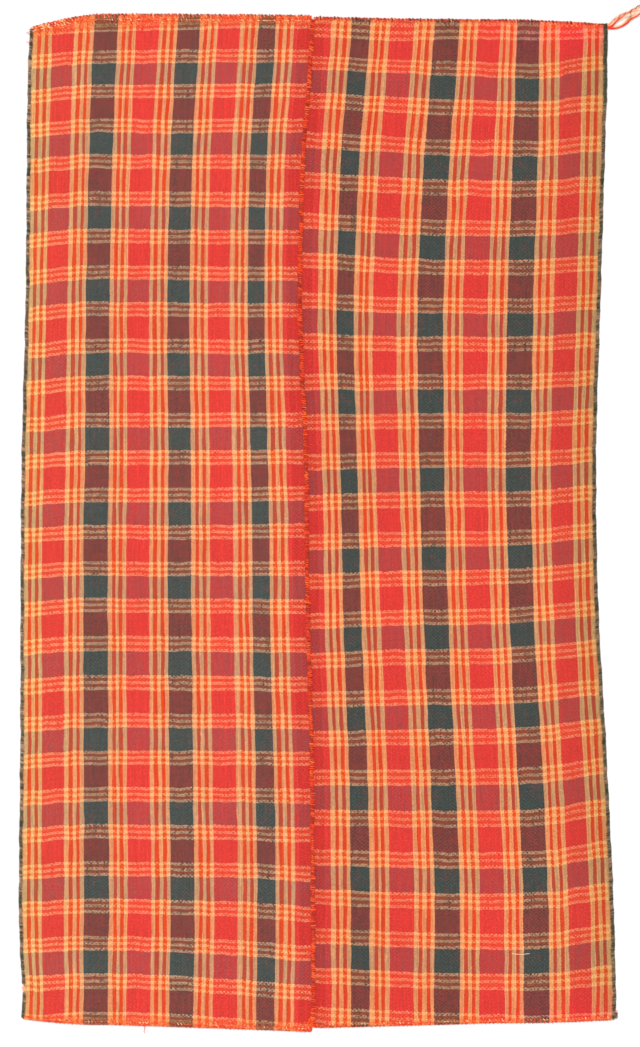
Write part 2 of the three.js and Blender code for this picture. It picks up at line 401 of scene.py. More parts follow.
def new_material(name: str) -> tuple[Material, Nodes, Node]:
    """Makes a material with a plain surface.

    Args:
        name: The material's name.

    Returns:
        The material, its nodes and its surface's node.
    """
    made = bpy.data.materials.new(name)
    made.use_nodes = True
    n = Nodes(made.node_tree)
    surface = n.add("ShaderNodeBsdfPrincipled")
    n.wire("ShaderNodeOutputMaterial", {"Surface": surface.outputs[0]})
    return made, n, surface


def new_object(name: str, data: bpy.types.ID) -> Thing:
    """Adds an object at the scene's origin.

    Args:
        name: Its name.
        data: Its mesh, light or camera.

    Returns:
        The object.
    """
    made = bpy.data.objects.new(name, data)
    bpy.context.scene.collection.objects.link(made)
    return made


class ShaderGroup:
    """A shader node group with named inputs and outputs."""

    def __init__(self, name: str, inputs: dict[str, float], outputs: tuple[str, ...]) -> None:
        """Makes the group and its sockets.

        Args:
            name: The group's name.
            inputs: Its number inputs, with their usual values.
            outputs: Its number outputs.
        """
        self.tree = bpy.data.node_groups.new(name, "ShaderNodeTree")
        for title, value in inputs.items():
            socket = self.tree.interface.new_socket(
                name=title, in_out="INPUT", socket_type="NodeSocketFloat"
            )
            socket.default_value = value
        for title in outputs:
            self.tree.interface.new_socket(
                name=title, in_out="OUTPUT", socket_type="NodeSocketFloat"
            )
        self.nodes = Nodes(self.tree)
        self.into = self.nodes.add("NodeGroupInput")
        self.out = self.nodes.add("NodeGroupOutput")

    def read(self, name: str) -> Socket:
        """Gives an input by its name."""
        return self.into.outputs[name]

    def write(self, name: str, value: object) -> None:
        """Feeds an output by its name."""
        self.nodes.feed(self.out.inputs[name], value)


def twill_group() -> Tree:
    """Builds the two-up, two-down twill: which yarn is on top, and how high it stands.

    Returns:
        A group that turns thread counts into a weft mask, a height and a painted shade that
        darkens the hollows between the threads.
    """
    group = ShaderGroup(
        "Two and two twill",
        {"Ends": 0.0, "Picks": 0.0, "Weft reach": 0.66},
        ("Weft", "Height", "Painted shade"),
    )
    n = group.nodes
    ends, picks = group.read("Ends"), group.read("Picks")
    end, pick = n.math("FLOOR", ends), n.math("FLOOR", picks)
    across, along = n.math("FRACT", ends), n.math("FRACT", picks)
    step = n.math("FLOORED_MODULO", n.plus(end, pick), 4.0)
    weft_up = n.math("GREATER_THAN", step, 1.5)
    warp_float = n.times(n.plus(step, along), 0.5)
    weft_float = n.times(n.plus(n.minus(step, 2.0), across), 0.5)

    def hump(value: Socket) -> Socket:
        """Rises from zero to one and falls again as a value goes from zero to one."""
        centred = n.times_plus(value, 2.0, -1.0)
        return n.minus(1.0, n.times(centred, centred))

    def rise(value: Socket) -> Socket:
        """Lifts a float in its middle."""
        return n.times_plus(hump(value), 0.6, 0.4)

    warp_height = n.times(hump(across), rise(warp_float))
    weft_height = n.times(hump(along), rise(weft_float))
    off_middle = n.math("ABSOLUTE", n.times_plus(weft_float, 2.0, -1.0))
    reached = n.math("LESS_THAN", off_middle, group.read("Weft reach"))
    weft = n.times(weft_up, reached)
    sunk = n.times(hump(across), 0.25)
    under = n.times(n.minus(weft_up, weft), sunk)
    top = n.times(n.minus(1.0, weft_up), warp_height)
    height = n.plus(n.plus(top, under), n.times(weft, weft_height))
    covered = n.math("MINIMUM", n.math("MAXIMUM", group.read("Weft reach"), 0.0), 1.0)
    group.write("Weft", n.times_plus(covered, 0.36, n.times(weft, 0.28)))
    group.write("Height", height)
    # Painted shade: the lower the yarn lies, the darker its colour, as if shaded in the hollows
    # between the threads.
    lit = n.math("POWER", n.math("MAXIMUM", height, 0.001), 0.45)
    group.write("Painted shade", n.times_plus(lit, 0.2, 0.8))
    return group.tree


def weft_draft_group() -> Tree:
    """Builds the weft's order of colours, which repeats all the way down the cloth.

    Returns:
        A group that turns a pick's number into one mask for each yarn colour.
    """
    group = ShaderGroup(
        "Weft draft",
        {
            "Pick": 0.0,
            "Half repeat": 64.0,
            "Striped picks": 25.0,
            "Line pair": 10.0,
            "Cream picks": 5.0,
            "Start": 11.0,
        },
        ("Dark", "Cream", "Orange"),
    )
    n = group.nodes
    moved = n.plus(n.math("FLOOR", group.read("Pick")), group.read("Start"))
    moved = n.plus(moved, 0.5)
    half = group.read("Half repeat")
    in_half = n.math("FLOORED_MODULO", moved, half)
    striped = n.math("LESS_THAN", in_half, group.read("Striped picks"))
    in_pair = n.math("FLOORED_MODULO", in_half, group.read("Line pair"))
    cream = n.math("LESS_THAN", in_pair, group.read("Cream picks"))
    in_repeat = n.math("FLOORED_MODULO", moved, n.times(half, 2.0))
    second = n.math("GREATER_THAN", in_repeat, half)
    group.write("Cream", n.times(striped, cream))
    group.write("Orange", n.times(striped, n.minus(1.0, cream)))
    group.write("Dark", n.times(second, n.minus(1.0, striped)))
    return group.tree


def thread_tone_group() -> Tree:
    """Builds the unevenness of handspun, home-dyed yarn from thread to thread.

    Returns:
        A group that gives each thread a brightness that drifts along it.
    """
    group = ShaderGroup(
        "Thread tone",
        {"Thread": 0.0, "Along": 0.0, "Batch": 0.0, "Spread": 0.1, "Streak": 0.1},
        ("Tone",),
    )
    n = group.nodes
    thread, along = group.read("Thread"), group.read("Along")
    dice = n.add("ShaderNodeTexWhiteNoise", noise_dimensions="1D")
    n.feed(dice.inputs["W"], n.plus(thread, group.read("Batch")))
    single = n.minus(dice.outputs[0], 0.5)
    drift = n.noise(
        n.vector(n.times(thread, 0.9), n.times(along, 0.035),
                 group.read("Batch")),
        0.55,
        3.0,
    )
    slub = n.noise(
        n.vector(n.times(thread, 3.1), n.times(along, 0.32),
                 group.read("Batch")),
        1.0,
        1.0,
    )
    streak = n.times(n.minus(drift, 0.5), group.read("Streak"))
    lump = n.times(n.minus(slub, 0.5), group.read("Spread"))
    own = n.times(single, group.read("Spread"))
    total = n.plus(n.plus(own, lump), n.times(streak, 2.0))
    group.write("Tone", n.plus(total, 1.0))
    return group.tree


def packing_group() -> Tree:
    """Builds how unevenly the threads are packed, which lets more or less weft show.

    Returns:
        A group that gives the packing, from about minus one to one, and a paler fleck.
    """
    group = ShaderGroup(
        "Thread packing", {"Ends": 0.0, "Picks": 0.0, "Batch": 0.0}, ("Packing", "Fleck", "Stain")
    )
    n = group.nodes
    ends, picks, batch = group.read("Ends"), group.read("Picks"), group.read("Batch")

    def scaled(value: object, scale: float) -> Socket:
        """Multiplies a thread count by a scale."""
        return n.times(value, scale)

    wobble = n.centred_noise(scaled(ends, 0.09), scaled(picks, 0.09), batch, 2.0)
    column = n.math("FLOOR", n.times_plus(wobble, 1.6, scaled(ends, 0.32)))
    turn = n.times_plus(n.math("FLOORED_MODULO", column, 2.0), 2.0, -1.0)
    beat = n.math("SINE", n.times_plus(wobble, 5.0, scaled(picks, 1.08)))
    zigzag = n.times(beat, turn)
    fleck = n.centred_noise(scaled(ends, 0.35), scaled(picks, 0.33), n.plus(batch, 7.3))
    streak = n.centred_noise(scaled(ends, 0.5), scaled(picks, 0.022), n.plus(batch, 13.7))
    bar = n.centred_noise(scaled(ends, 0.022), scaled(picks, 0.5), n.plus(batch, 19.1))
    uneven = n.times_plus(fleck, 2.9, n.times(zigzag, 0.45))
    uneven = n.times_plus(streak, 2.2, uneven)
    group.write("Packing", n.times_plus(bar, 0.9, uneven))
    pale = n.centred_noise(scaled(ends, 0.33), scaled(picks, 0.38), n.plus(batch, 31.9))
    group.write("Fleck", n.times_plus(pale, 2.0, n.times(zigzag, 0.3)))
    stain = n.centred_noise(scaled(ends, 0.075), scaled(picks, 0.06), n.plus(batch, 43.3),
                            2.0)
    group.write("Stain", n.times(stain, 1.6))
    return group.tree


def fibre_group() -> Tree:
    """Builds the fine hair and the ply of loose sewing yarn, on Object coordinates.

    Returns:
        A group that gives a height and a brightness over the yarn.
    """
    group = ShaderGroup("Yarn fibre", {"Fineness": 900.0, "Depth": 0.3}, ("Height", "Tone"))
    n = group.nodes
    place = n.add("ShaderNodeTexCoord").outputs["Object"]
    fine = n.add("ShaderNodeTexNoise", noise_dimensions="3D")
    n.feed(fine.inputs["Vector"], place)
    n.feed(fine.inputs["Scale"], group.read("Fineness"))
    fine.inputs["Detail"].default_value = 3.0
    broad = n.noise(place, 160.0, 2.0)
    group.write("Height", fine.outputs[0])
    sway = n.minus(n.times_plus(broad, 0.6, fine.outputs[0]), 0.8)
    group.write("Tone", n.times_plus(sway, group.read("Depth"), 1.0))
    return group.tree


@dataclass(frozen=True)
class YarnFinish:
    """Loose or sewing yarn, in shades that each piece picks by its own tone value."""

    name: str
    slot: str
    shades: tuple[Colour, ...]
    fineness: float = 900.0
    depth: float = 0.5
    drift: float = 0.0
    drift_scale: float = 11.0

    def material(self, fibre: Tree) -> Material:
        """Builds the yarn's material.

        Args:
            fibre: The yarn fibre group.

        Returns:
            The material.
        """
        made, n, wool = new_material(self.name)
        tone = n.add("ShaderNodeAttribute", attribute_name="tone").outputs["Fac"]
        place = n.add("ShaderNodeTexCoord").outputs["Object"]
        drift = n.minus(n.noise(place, self.drift_scale, 3.0), 0.5)
        last = len(self.shades) - 1
        stops = [(index / last, shade) for index, shade in enumerate(self.shades)]
        ramp = n.ramp(n.times_plus(drift, self.drift, tone), stops, "LINEAR")
        hair = n.place_group(fibre, Fineness=self.fineness, Depth=self.depth)
        n.feed(
            wool.inputs["Base Color"],
            n.mix(1.0, ramp.outputs[0], n.grey(hair.outputs["Tone"]), "MULTIPLY"),
        )
        wool.inputs["Roughness"].default_value = 0.88
        n.feed(wool.inputs["Normal"], n.nap(wool, hair.outputs["Height"], 0.5, 0.25, 0.12))
        return made


DRAFT_STEPS = 255
"""How many warp ends one colour ramp has room for."""


class Mask(Enum):
    """The masks that a warp draft's colour stops stand for, by the draft's letter."""

    R = (0.0, 0.0, 0.0, 0.0)
    D = (1.0, 0.0, 0.0, 0.0)
    C = (0.0, 1.0, 0.0, 0.0)
    O = (0.0, 0.0, 1.0, 0.0)
    M = (0.0, 0.0, 0.0, 1.0)


class Tint(Enum):
    """What a thread's or the cloth's colour is multiplied by, where it looks changed."""

    # RED_UNDER_DARK, ORANGE_UNDER_DARK and ORANGE_OVER_DARK darken threads beside dark ones:
    # partly colour fitted to the weave's mix, partly painted shade from the dark neighbours.
    RED_UNDER_DARK = (0.82, 0.68, 0.73, 1.0)
    ORANGE_UNDER_DARK = (0.81, 0.75, 0.12, 1.0)
    CREAM_UNDER_DARK = (0.95, 1.0, 1.06, 1.0)
    # Beside the seam: partly a real darker red, partly painted shadow of the seam's ridge.
    BESIDE_SEAM = (0.8, 0.58, 0.53, 1.0)
    CREAM_OVER_RED = (1.0, 0.8, 0.84, 1.0)
    CREAM_OVER_DARK = (1.06, 0.98, 1.14, 1.0)
    CREAM_OVER_ORANGE = (1.0, 0.96, 0.68, 1.0)
    ORANGE_OVER_DARK = (0.88, 0.84, 0.86, 1.0)
    RUN_DYE = (1.3, 0.5, 1.25, 1.0)
    TURNED_HEM = (1.08, 1.2, 0.82, 1.0)


@dataclass(frozen=True)
class Dyes:
    """The four dyed yarns of one system of threads."""

    red: Colour
    dark: Colour
    cream: Colour
    orange: Colour


@dataclass(frozen=True)
class DyeBatch:
    """The dyed yarns of one length of cloth."""

    warp: Dyes
    weft: Dyes


LEFT_BATCH = DyeBatch(
    Dyes(dye(257, 60, 48), dye(77, 68, 60), dye(260, 177, 117), dye(250, 75, 4)),
    Dyes(dye(191, 60, 56), dye(60, 97, 98), dye(256, 204, 148), dye(230, 96, 46)),
)
RIGHT_BATCH = DyeBatch(
    Dyes(dye(253, 57, 46), dye(71, 63, 55), dye(263, 175, 111), dye(250, 71, 2)),
    Dyes(dye(189, 57, 53), dye(52, 89, 90), dye(254, 194, 138), dye(229, 96, 42)),
)


RUN_RISE = 0.7
"""How fast the run dye at the foot grows from one weft group to the next."""


@dataclass(frozen=True)
class PlaidFinish:
    """The plaid twill of one loom width, threaded and picked to its draft.

    The warp draft lists the threads from the outer side to the seam side, each letter with its
    number of ends: R red, D dark, C cream, O orange, M the deeper red beside the seam, partly a
    real darker red and partly painted shadow of the seam's ridge. The outer tint fades out over
    the outer reach, a share of the width. The blush is the strength of the run dye at both outer
    corners: it fades over the run reach, above and below two weft counts.
    """

    name: str
    warp_draft: tuple[str, str]
    half_repeat: int
    striped_picks: int
    line_pair: int
    start: int
    batch: float
    dyes: DyeBatch
    outer_tint: Colour
    gain: float = 1.0
    reach: float = 0.66
    blush: float = 0.0
    outer_reach: float = 0.24
    run_reach: float = 0.5
    run_above: float = 0.9
    run_below: float = 24.1
    slot: str = "plaid_wool"

    def ends(self) -> int:
        """Counts the warp ends of both halves of the draft."""
        return sum(int(run[1:]) for half in self.warp_draft for run in half.split())

    def draft_ramp(self, n: Nodes, draft: str, end: object, first: int) -> Node:
        """Builds half of the warp draft as a ramp that holds one end in each of its steps.

        Args:
            n: The tree's nodes.
            draft: The half's runs of ends.
            end: The end's number.
            first: The number of the half's first end.

        Returns:
            The ramp's node.
        """
        stops: list[tuple[float, Colour]] = []
        at = 0
        for run in draft.split():
            stops.append(((at - 0.5) / DRAFT_STEPS if stops else 0.0, Mask[run[0]].value))
            at += int(run[1:])
        place = n.times(n.plus(end, 0.5 - first), 1 / DRAFT_STEPS)
        return n.ramp(place, stops, "CONSTANT")

    def threads(self, n: Nodes, dyes: Dyes, masks: tuple[object, ...]) -> object:
        """Colours one system of threads by its masks.

        Args:
            n: The tree's nodes.
            dyes: The system's dyed yarns.
            masks: The dark, cream and orange masks.

        Returns:
            The colour's socket.
        """
        colour: object = dyes.red
        for mask, shade in zip(masks, (dyes.dark, dyes.cream, dyes.orange)):
            colour = n.mix(mask, colour, shade)
        return colour

    def material(self, groups: "WeaveGroups") -> Material:
        """Builds the cloth's material on its own UV map.

        Args:
            groups: The shared weave groups.

        Returns:
            The material.
        """
        made, n, wool = new_material(self.name)
        chart = n.add("ShaderNodeUVMap", uv_map="cloth").outputs[0]
        split = n.add("ShaderNodeSeparateXYZ")
        n.feed(split.inputs[0], chart)
        wander = n.minus(n.noise(chart, 34.0, 3.0), 0.5)
        ends = n.times(split.outputs[0], float(self.ends()))
        ends = n.times_plus(wander, 4.5, ends)
        count = n.times_plus(split.outputs[1], 30.0, -1.0)
        picks = n.times(count, float(self.half_repeat))
        sway = n.minus(n.noise(chart, 19.0, 3.0), 0.5)
        picks = n.times_plus(sway, 7.0, picks)
        end, pick = n.math("FLOOR", ends), n.math("FLOOR", picks)
        packing = n.place_group(groups.packing, Ends=ends, Picks=picks, Batch=self.batch)
        dyed_end = n.math("FLOOR", n.times_plus(packing.outputs["Fleck"], 0.6, ends))
        dyed_pick = n.times_plus(packing.outputs["Packing"], 0.5, picks)

        outer, inner = self.warp_draft
        turn = sum(int(run[1:]) for run in outer.split())
        first = self.draft_ramp(n, outer, dyed_end, 0)
        second = self.draft_ramp(n, inner, dyed_end, turn)
        past = n.math("GREATER_THAN", dyed_end, turn - 0.5)
        warp_masks = n.add("ShaderNodeSeparateColor")
        n.feed(warp_masks.inputs[0], n.mix(past, first.outputs[0], second.outputs[0]))
        # The M ends beside the seam: partly real darker red threads, partly painted shadow of the
        # seam's ridge.
        beside_seam = n.times(past, second.outputs[1])
        weft = n.place_group(
            groups.weft_draft,
            Pick=dyed_pick,
            Half_repeat=float(self.half_repeat),
            Striped_picks=float(self.striped_picks),
            Line_pair=float(self.line_pair),
            Start=float(self.start),
        )
        dark_warp, cream_warp, orange_warp = (warp_masks.outputs[i] for i in range(3))
        red_warp = n.minus(1.0, n.plus(dark_warp, n.plus(cream_warp, orange_warp)))
        warp_colour = self.threads(n, self.dyes.warp, tuple(warp_masks.outputs))
        weft_colour = self.threads(n, self.dyes.weft, tuple(weft.outputs))
        stained = n.math("MAXIMUM", packing.outputs["Stain"], 0.0)
        warp_colour = n.mix(n.times(stained, dark_warp), warp_colour, dye(136, 56, 52))
        over = weft.outputs
        # The under-dark tints and ORANGE_OVER_DARK are partly painted shade from the dark
        # neighbouring threads.
        warp_changes = (
            (n.times(red_warp, over["Dark"]), Tint.RED_UNDER_DARK),
            (n.times(orange_warp, over["Dark"]), Tint.ORANGE_UNDER_DARK),
            (n.times(cream_warp, over["Dark"]), Tint.CREAM_UNDER_DARK),
            (beside_seam, Tint.BESIDE_SEAM),
        )
        for share, tint in warp_changes:
            warp_colour = self.tinted(n, share, warp_colour, tint.value)
        weft_changes = (
            (red_warp, "Cream", Tint.CREAM_OVER_RED),
            (dark_warp, "Cream", Tint.CREAM_OVER_DARK),
            (orange_warp, "Cream", Tint.CREAM_OVER_ORANGE),
            (dark_warp, "Orange", Tint.ORANGE_OVER_DARK),
        )
        for warp, name, tint in weft_changes:
            share = n.times(warp, over[name])
            weft_colour = self.tinted(n, share, weft_colour, tint.value)

        warp_tone = n.place_group(
            groups.thread_tone, Thread=end, Along=picks, Batch=self.batch, Spread=0.17, Streak=0.3
        )
        weft_tone = n.place_group(
            groups.thread_tone,
            Thread=pick,
            Along=ends,
            Batch=self.batch + 40.5,
            Spread=0.2,
            Streak=0.24,
        )
        warp_colour = n.mix(1.0, warp_colour, n.grey(warp_tone.outputs[0]), "MULTIPLY")
        weft_colour = n.mix(1.0, weft_colour, n.grey(weft_tone.outputs[0]), "MULTIPLY")

        reach = n.times_plus(orange_warp, -0.12, self.reach)
        spread = n.times_plus(weft.outputs["Cream"], 0.3, 0.44)
        reach = n.times_plus(packing.outputs["Packing"], spread, reach)
        twill = n.place_group(groups.twill, Ends=ends, Picks=picks, Weft_reach=reach)
        colour = n.mix(twill.outputs["Weft"], warp_colour, weft_colour)
        cloud = n.noise(n.add("ShaderNodeTexCoord").outputs["Object"], 3.1, 3.0)
        cloud = n.times_plus(n.minus(cloud, 0.5), 0.2, self.gain)
        cloud = n.times_plus(packing.outputs["Fleck"], 0.19, cloud)
        # Painted shade: the twill's shade in the hollows between threads, times the cloud of tone,
        # darkens the colour.
        shade = n.times(twill.outputs["Painted shade"], cloud)
        colour = n.mix(1.0, colour, n.grey(shade), "MULTIPLY")
        outer_side = n.minus(1.0, n.math("DIVIDE", split.outputs[0], self.outer_reach))
        colour = self.tinted(n, n.math("MAXIMUM", outer_side, 0.0), colour, self.outer_tint)
        near_corner = n.minus(1.0, n.math("DIVIDE", split.outputs[0], self.run_reach))
        near_foot = n.times_plus(count, RUN_RISE, -RUN_RISE * self.run_below)
        near_hem = n.math("MAXIMUM", n.minus(self.run_above, count), near_foot)
        near_hem = n.math("MINIMUM", n.math("MAXIMUM", near_hem, 0.0), 1.0)
        run_dye = n.times(n.math("MAXIMUM", near_corner, 0.0), near_hem)
        run_dye = n.times(run_dye, self.blush)
        colour = self.tinted(n, run_dye, colour, Tint.RUN_DYE.value)
        fuzz = n.times_plus(packing.outputs["Fleck"], 0.048, 0.004)
        colour = n.mix(n.math("MAXIMUM", fuzz, 0.0), colour, dye(242, 225, 208))
        colour = self.hem_colour(n, colour, ends, picks, dark_warp)
        n.feed(wool.inputs["Base Color"], colour)
        n.feed(
            wool.inputs["Roughness"], n.times_plus(twill.outputs["Height"], -0.1, 0.95)
        )
        n.feed(wool.inputs["Normal"], n.nap(wool, twill.outputs["Height"], 0.3, 0.2, 0.06))
        return made

    @staticmethod
    def tinted(n: Nodes, share: object, colour: object, tint: Colour) -> object:
        """Multiplies a share of a colour by a tint."""
        return n.mix(share, colour, n.mix(1.0, colour, tint, "MULTIPLY"))

    def hem_colour(
        self, n: Nodes, colour: object, ends: object, picks: object, dark_warp: object
    ) -> object:
        """Brightens the turned-in hems and dots them with small slanting stitches, dark dots of
        painted shade among them and pale dots that are partly pale yarn and partly painted
        highlight.

        Args:
            n: The tree's nodes.
            colour: The cloth's colour.
            ends: The place across, in ends.
            picks: The place down, in picks.
            dark_warp: The mask of the dark warp.

        Returns:
            The colour's socket.
        """
        hem = n.add("ShaderNodeAttribute", attribute_name="hem").outputs["Fac"]
        warm = self.tinted(n, hem, colour, Tint.TURNED_HEM.value)
        folded = n.mix(dark_warp, dye(242, 72, 44), dye(120, 58, 52))
        warm = n.mix(n.times(hem, 0.55), warm, folded)
        slant = n.plus(ends, picks)
        across = n.minus(ends, picks)
        dash = n.centred_noise(
            n.times(slant, 0.3), n.times(across, 0.08), self.batch + 3.0
        )
        dash = n.times(n.math("GREATER_THAN", dash, 0.03), hem)
        orange = n.mix(dark_warp, dye(248, 88, 42), dye(176, 82, 58))
        warm = n.mix(n.times(dash, 0.4), warm, orange)
        knot = n.centred_noise(
            n.times(slant, 0.31), n.times(across, 0.27), self.batch + 5.0
        )
        bright = n.times(n.math("GREATER_THAN", knot, 0.14), hem)
        # Dark dots: painted shade among the small stitches.
        deep = n.times(n.math("LESS_THAN", knot, -0.16), hem)
        warm = n.mix(n.times(deep, 0.6), warm, dye(120, 44, 32))
        # Pale dots: partly pale yarn, partly painted highlight.
        light = n.mix(dark_warp, dye(255, 204, 150), dye(214, 156, 128))
        return n.mix(n.times(bright, 0.65), warm, light)


@dataclass
class WeaveGroups:
    """The shader groups that the cloth and the yarns share."""

    twill: Tree = field(default_factory=twill_group)
    weft_draft: Tree = field(default_factory=weft_draft_group)
    thread_tone: Tree = field(default_factory=thread_tone_group)
    packing: Tree = field(default_factory=packing_group)
    fibre: Tree = field(default_factory=fibre_group)


def shades(level: float, *seen: tuple[int, int, int]) -> tuple[Colour, ...]:
    """Turns the shades of a yarn, as seen at a light level, into surface colours."""
    return tuple(dye(*shade, level) for shade in seen)


TUFT_LEVEL = 0.95
"""The light level of yarn that stands up from the cloth, and so catches less."""

SEAM_YARN = YarnFinish(
    "Orange-red seam yarn", "seam_yarn",
    shades(TUFT_LEVEL, (172, 42, 16), (236, 64, 18), (252, 80, 22), (255, 118, 50)),
    drift=1.0, drift_scale=60.0,
)
# A darker copy of the seam yarn: painted shade for the core and the under stitches, which lie in
# the shadow of the over stitches.
SEAM_SHADOW_YARN = YarnFinish(
    "Seam yarn in painted shade", "seam_yarn",
    shades(TUFT_LEVEL, (116, 34, 26), (196, 48, 28), (236, 70, 32)),
)
HEM_YARN = YarnFinish(
    "Hem whipping yarn", "seam_yarn",
    shades(TUFT_LEVEL, (150, 40, 26), (236, 62, 28), (252, 88, 34), (255, 168, 100)),
)
MOTTLED_HEM_YARN = YarnFinish(
    "Corner whipping yarn", "seam_yarn",
    shades(TUFT_LEVEL, (206, 52, 28), (246, 88, 36), (250, 138, 60), (255, 220, 180)),
)
# Dark yarn for the beads along the top edge: partly real dark yarn, partly painted shade in the
# gaps between the whipping stitches.
DARK_HEM_YARN = YarnFinish(
    "Dark whipping yarn", "seam_yarn",
    shades(LIGHT_LEVEL, (58, 40, 34), (120, 48, 36), (150, 60, 40)),
)
EDGING_YARN = YarnFinish(
    "Dark edging yarn", "edging_yarn",
    shades(LIGHT_LEVEL, (70, 72, 56), (118, 102, 80), (162, 126, 98), (222, 176, 142)),
    depth=0.8, drift=2.0, drift_scale=46.0,
)
FRESH_EDGING_YARN = YarnFinish(
    "Unfaded edging yarn", "edging_yarn",
    shades(LIGHT_LEVEL, (46, 52, 34), (66, 70, 48), (96, 88, 64)),
    depth=0.8,
)
RIGHT_EDGING_YARN = YarnFinish(
    "Faded edging yarn", "edging_yarn",
    shades(LIGHT_LEVEL, (56, 62, 42), (98, 92, 68), (142, 116, 88), (186, 146, 114)),
    depth=0.8, drift=1.8, drift_scale=46.0,
)
TASSEL_YARN = YarnFinish(
    "Tassel yarn", "tassel_yarn",
    (dye(236, 34, 0, 1.08), dye(250, 80, 22, 1.08), dye(246, 134, 80, 1.06),
     dye(252, 186, 150, 1.0), dye(254, 220, 198, 0.97), dye(255, 240, 228, 0.95)),
    depth=0.3,
)
FRAYED_YARN = YarnFinish(
    "Frayed corner yarn", "seam_yarn",
    shades(TUFT_LEVEL, (246, 110, 52), (252, 180, 116), (255, 234, 214)),
    depth=0.3,
)
TASSEL_HAIR = YarnFinish(
    "Tassel hair", "tassel_yarn",
    shades(0.92, (252, 196, 160), (255, 226, 190), (255, 244, 232)),
    depth=0.2,
)
BROWN_YARN = YarnFinish(
    "Brown tying yarn", "tassel_yarn", shades(LIGHT_LEVEL, (128, 76, 48), (176, 112, 74))
)


class Shape:
    """Points, faces and tones gathered for one mesh."""

    def __init__(self) -> None:
        """Starts empty."""
        self.points: list[np.ndarray] = []
        self.faces: list[tuple[int, ...]] = []
        self.tones: list[np.ndarray] = []
        self.count = 0

    def add(
        self, points: np.ndarray, faces: list[tuple[int, ...]], tone: float | np.ndarray = 0.5
    ) -> None:
        """Adds a closed form.

        Args:
            points: One row of x, y and z for each point, in metres.
            faces: The form's faces, by its own point numbers.
            tone: Its yarn shade from zero to one, for the whole form or for each point.
        """
        self.faces += [tuple(i + self.count for i in face) for face in faces]
        self.points.append(points)
        self.tones.append(np.broadcast_to(tone, len(points)))
        self.count += len(points)

    def tube(
        self, path: np.ndarray, radius: float | np.ndarray, sides: int = 5,
        tone: float | np.ndarray = 0.5, flat: float = 1.0,
    ) -> None:
        """Adds a yarn along a path, closed at both ends.

        Args:
            path: Its centreline, in metres.
            radius: Its radius, for the whole yarn or at each point, in metres.
            sides: How many sides it has.
            tone: Its yarn shade, for the whole yarn or at each point.
            flat: Its height as a share of its width.
        """
        radius = np.broadcast_to(radius, len(path))
        ahead = np.gradient(path, axis=0)
        ahead /= np.maximum(np.linalg.norm(ahead, axis=1, keepdims=True), 1e-9)
        up = np.array([0.0, 0.0, 1.0])
        side = np.cross(ahead, up)
        length = np.linalg.norm(side, axis=1, keepdims=True)
        side = np.where(length < 0.05, np.array([1.0, 0.0, 0.0]), side / np.maximum(length, 1e-9))
        over = np.cross(side, ahead)
        turns = np.arange(sides) / sides * 2 * math.pi
        ring = (
            side[:, None, :] * np.cos(turns)[None, :, None]
            + over[:, None, :] * np.sin(turns)[None, :, None] * flat
        )
        points = path[:, None, :] + ring * radius[:, None, None]
        steps = len(path)
        faces: list[tuple[int, ...]] = []
        for step in range(steps - 1):
            for s in range(sides):
                a, b = step * sides + s, step * sides + (s + 1) % sides
                faces.append((a, a + sides, b + sides, b))
        faces.append(tuple(range(sides)))
        faces.append(tuple((steps - 1) * sides + s for s in reversed(range(sides))))
        self.add(points.reshape(-1, 3), faces, np.repeat(np.broadcast_to(tone, steps), sides))

    def finish(self, name: str, material: Material) -> Thing:
        """Turns what was gathered into an object at the origin.

        Args:
            name: The piece's name.
            material: Its finish.

        Returns:
            The object.
        """
        mesh = bpy.data.meshes.new(name)
        mesh.from_pydata(np.concatenate(self.points).tolist(), [], self.faces)
        tone = mesh.attributes.new("tone", "FLOAT", "POINT")
        tone.data.foreach_set("value", np.concatenate(self.tones).astype(np.float32))
        mesh.materials.append(material)
        mesh.polygons.foreach_set("use_smooth", [True] * len(mesh.polygons))
        return new_object(name, mesh)


def settle(piece: Thing, slot: str, *stands_for: str) -> Thing:
    """Makes a piece ride with the cloth and hides the CAD parts that it stands for.

    Args:
        piece: The piece.
        slot: The record's material slot. It is not used.
        stands_for: The CAD nodes that it replaces.

    Returns:
        The same piece.
    """
    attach(piece, "root")
    if stands_for:
        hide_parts(*stands_for)
    log.info("%s: %d faces", piece.name, len(piece.data.polygons))
    return piece


def smooth_path(points: np.ndarray, steps: int) -> np.ndarray:
    """Runs a smooth line through points.

    Args:
        points: The points, one row each.
        steps: How many points the line gets.

    Returns:
        The line's points, evenly spaced by their share of the way.
    """
    reach = np.concatenate([[0.0], np.cumsum(np.linalg.norm(np.diff(points, axis=0), axis=1))])
    at = np.linspace(0, reach[-1], steps)
    keys = tuple(reach)
    return np.stack([follow(keys, tuple(points[:, k]), at) for k in range(points.shape[1])], 1)


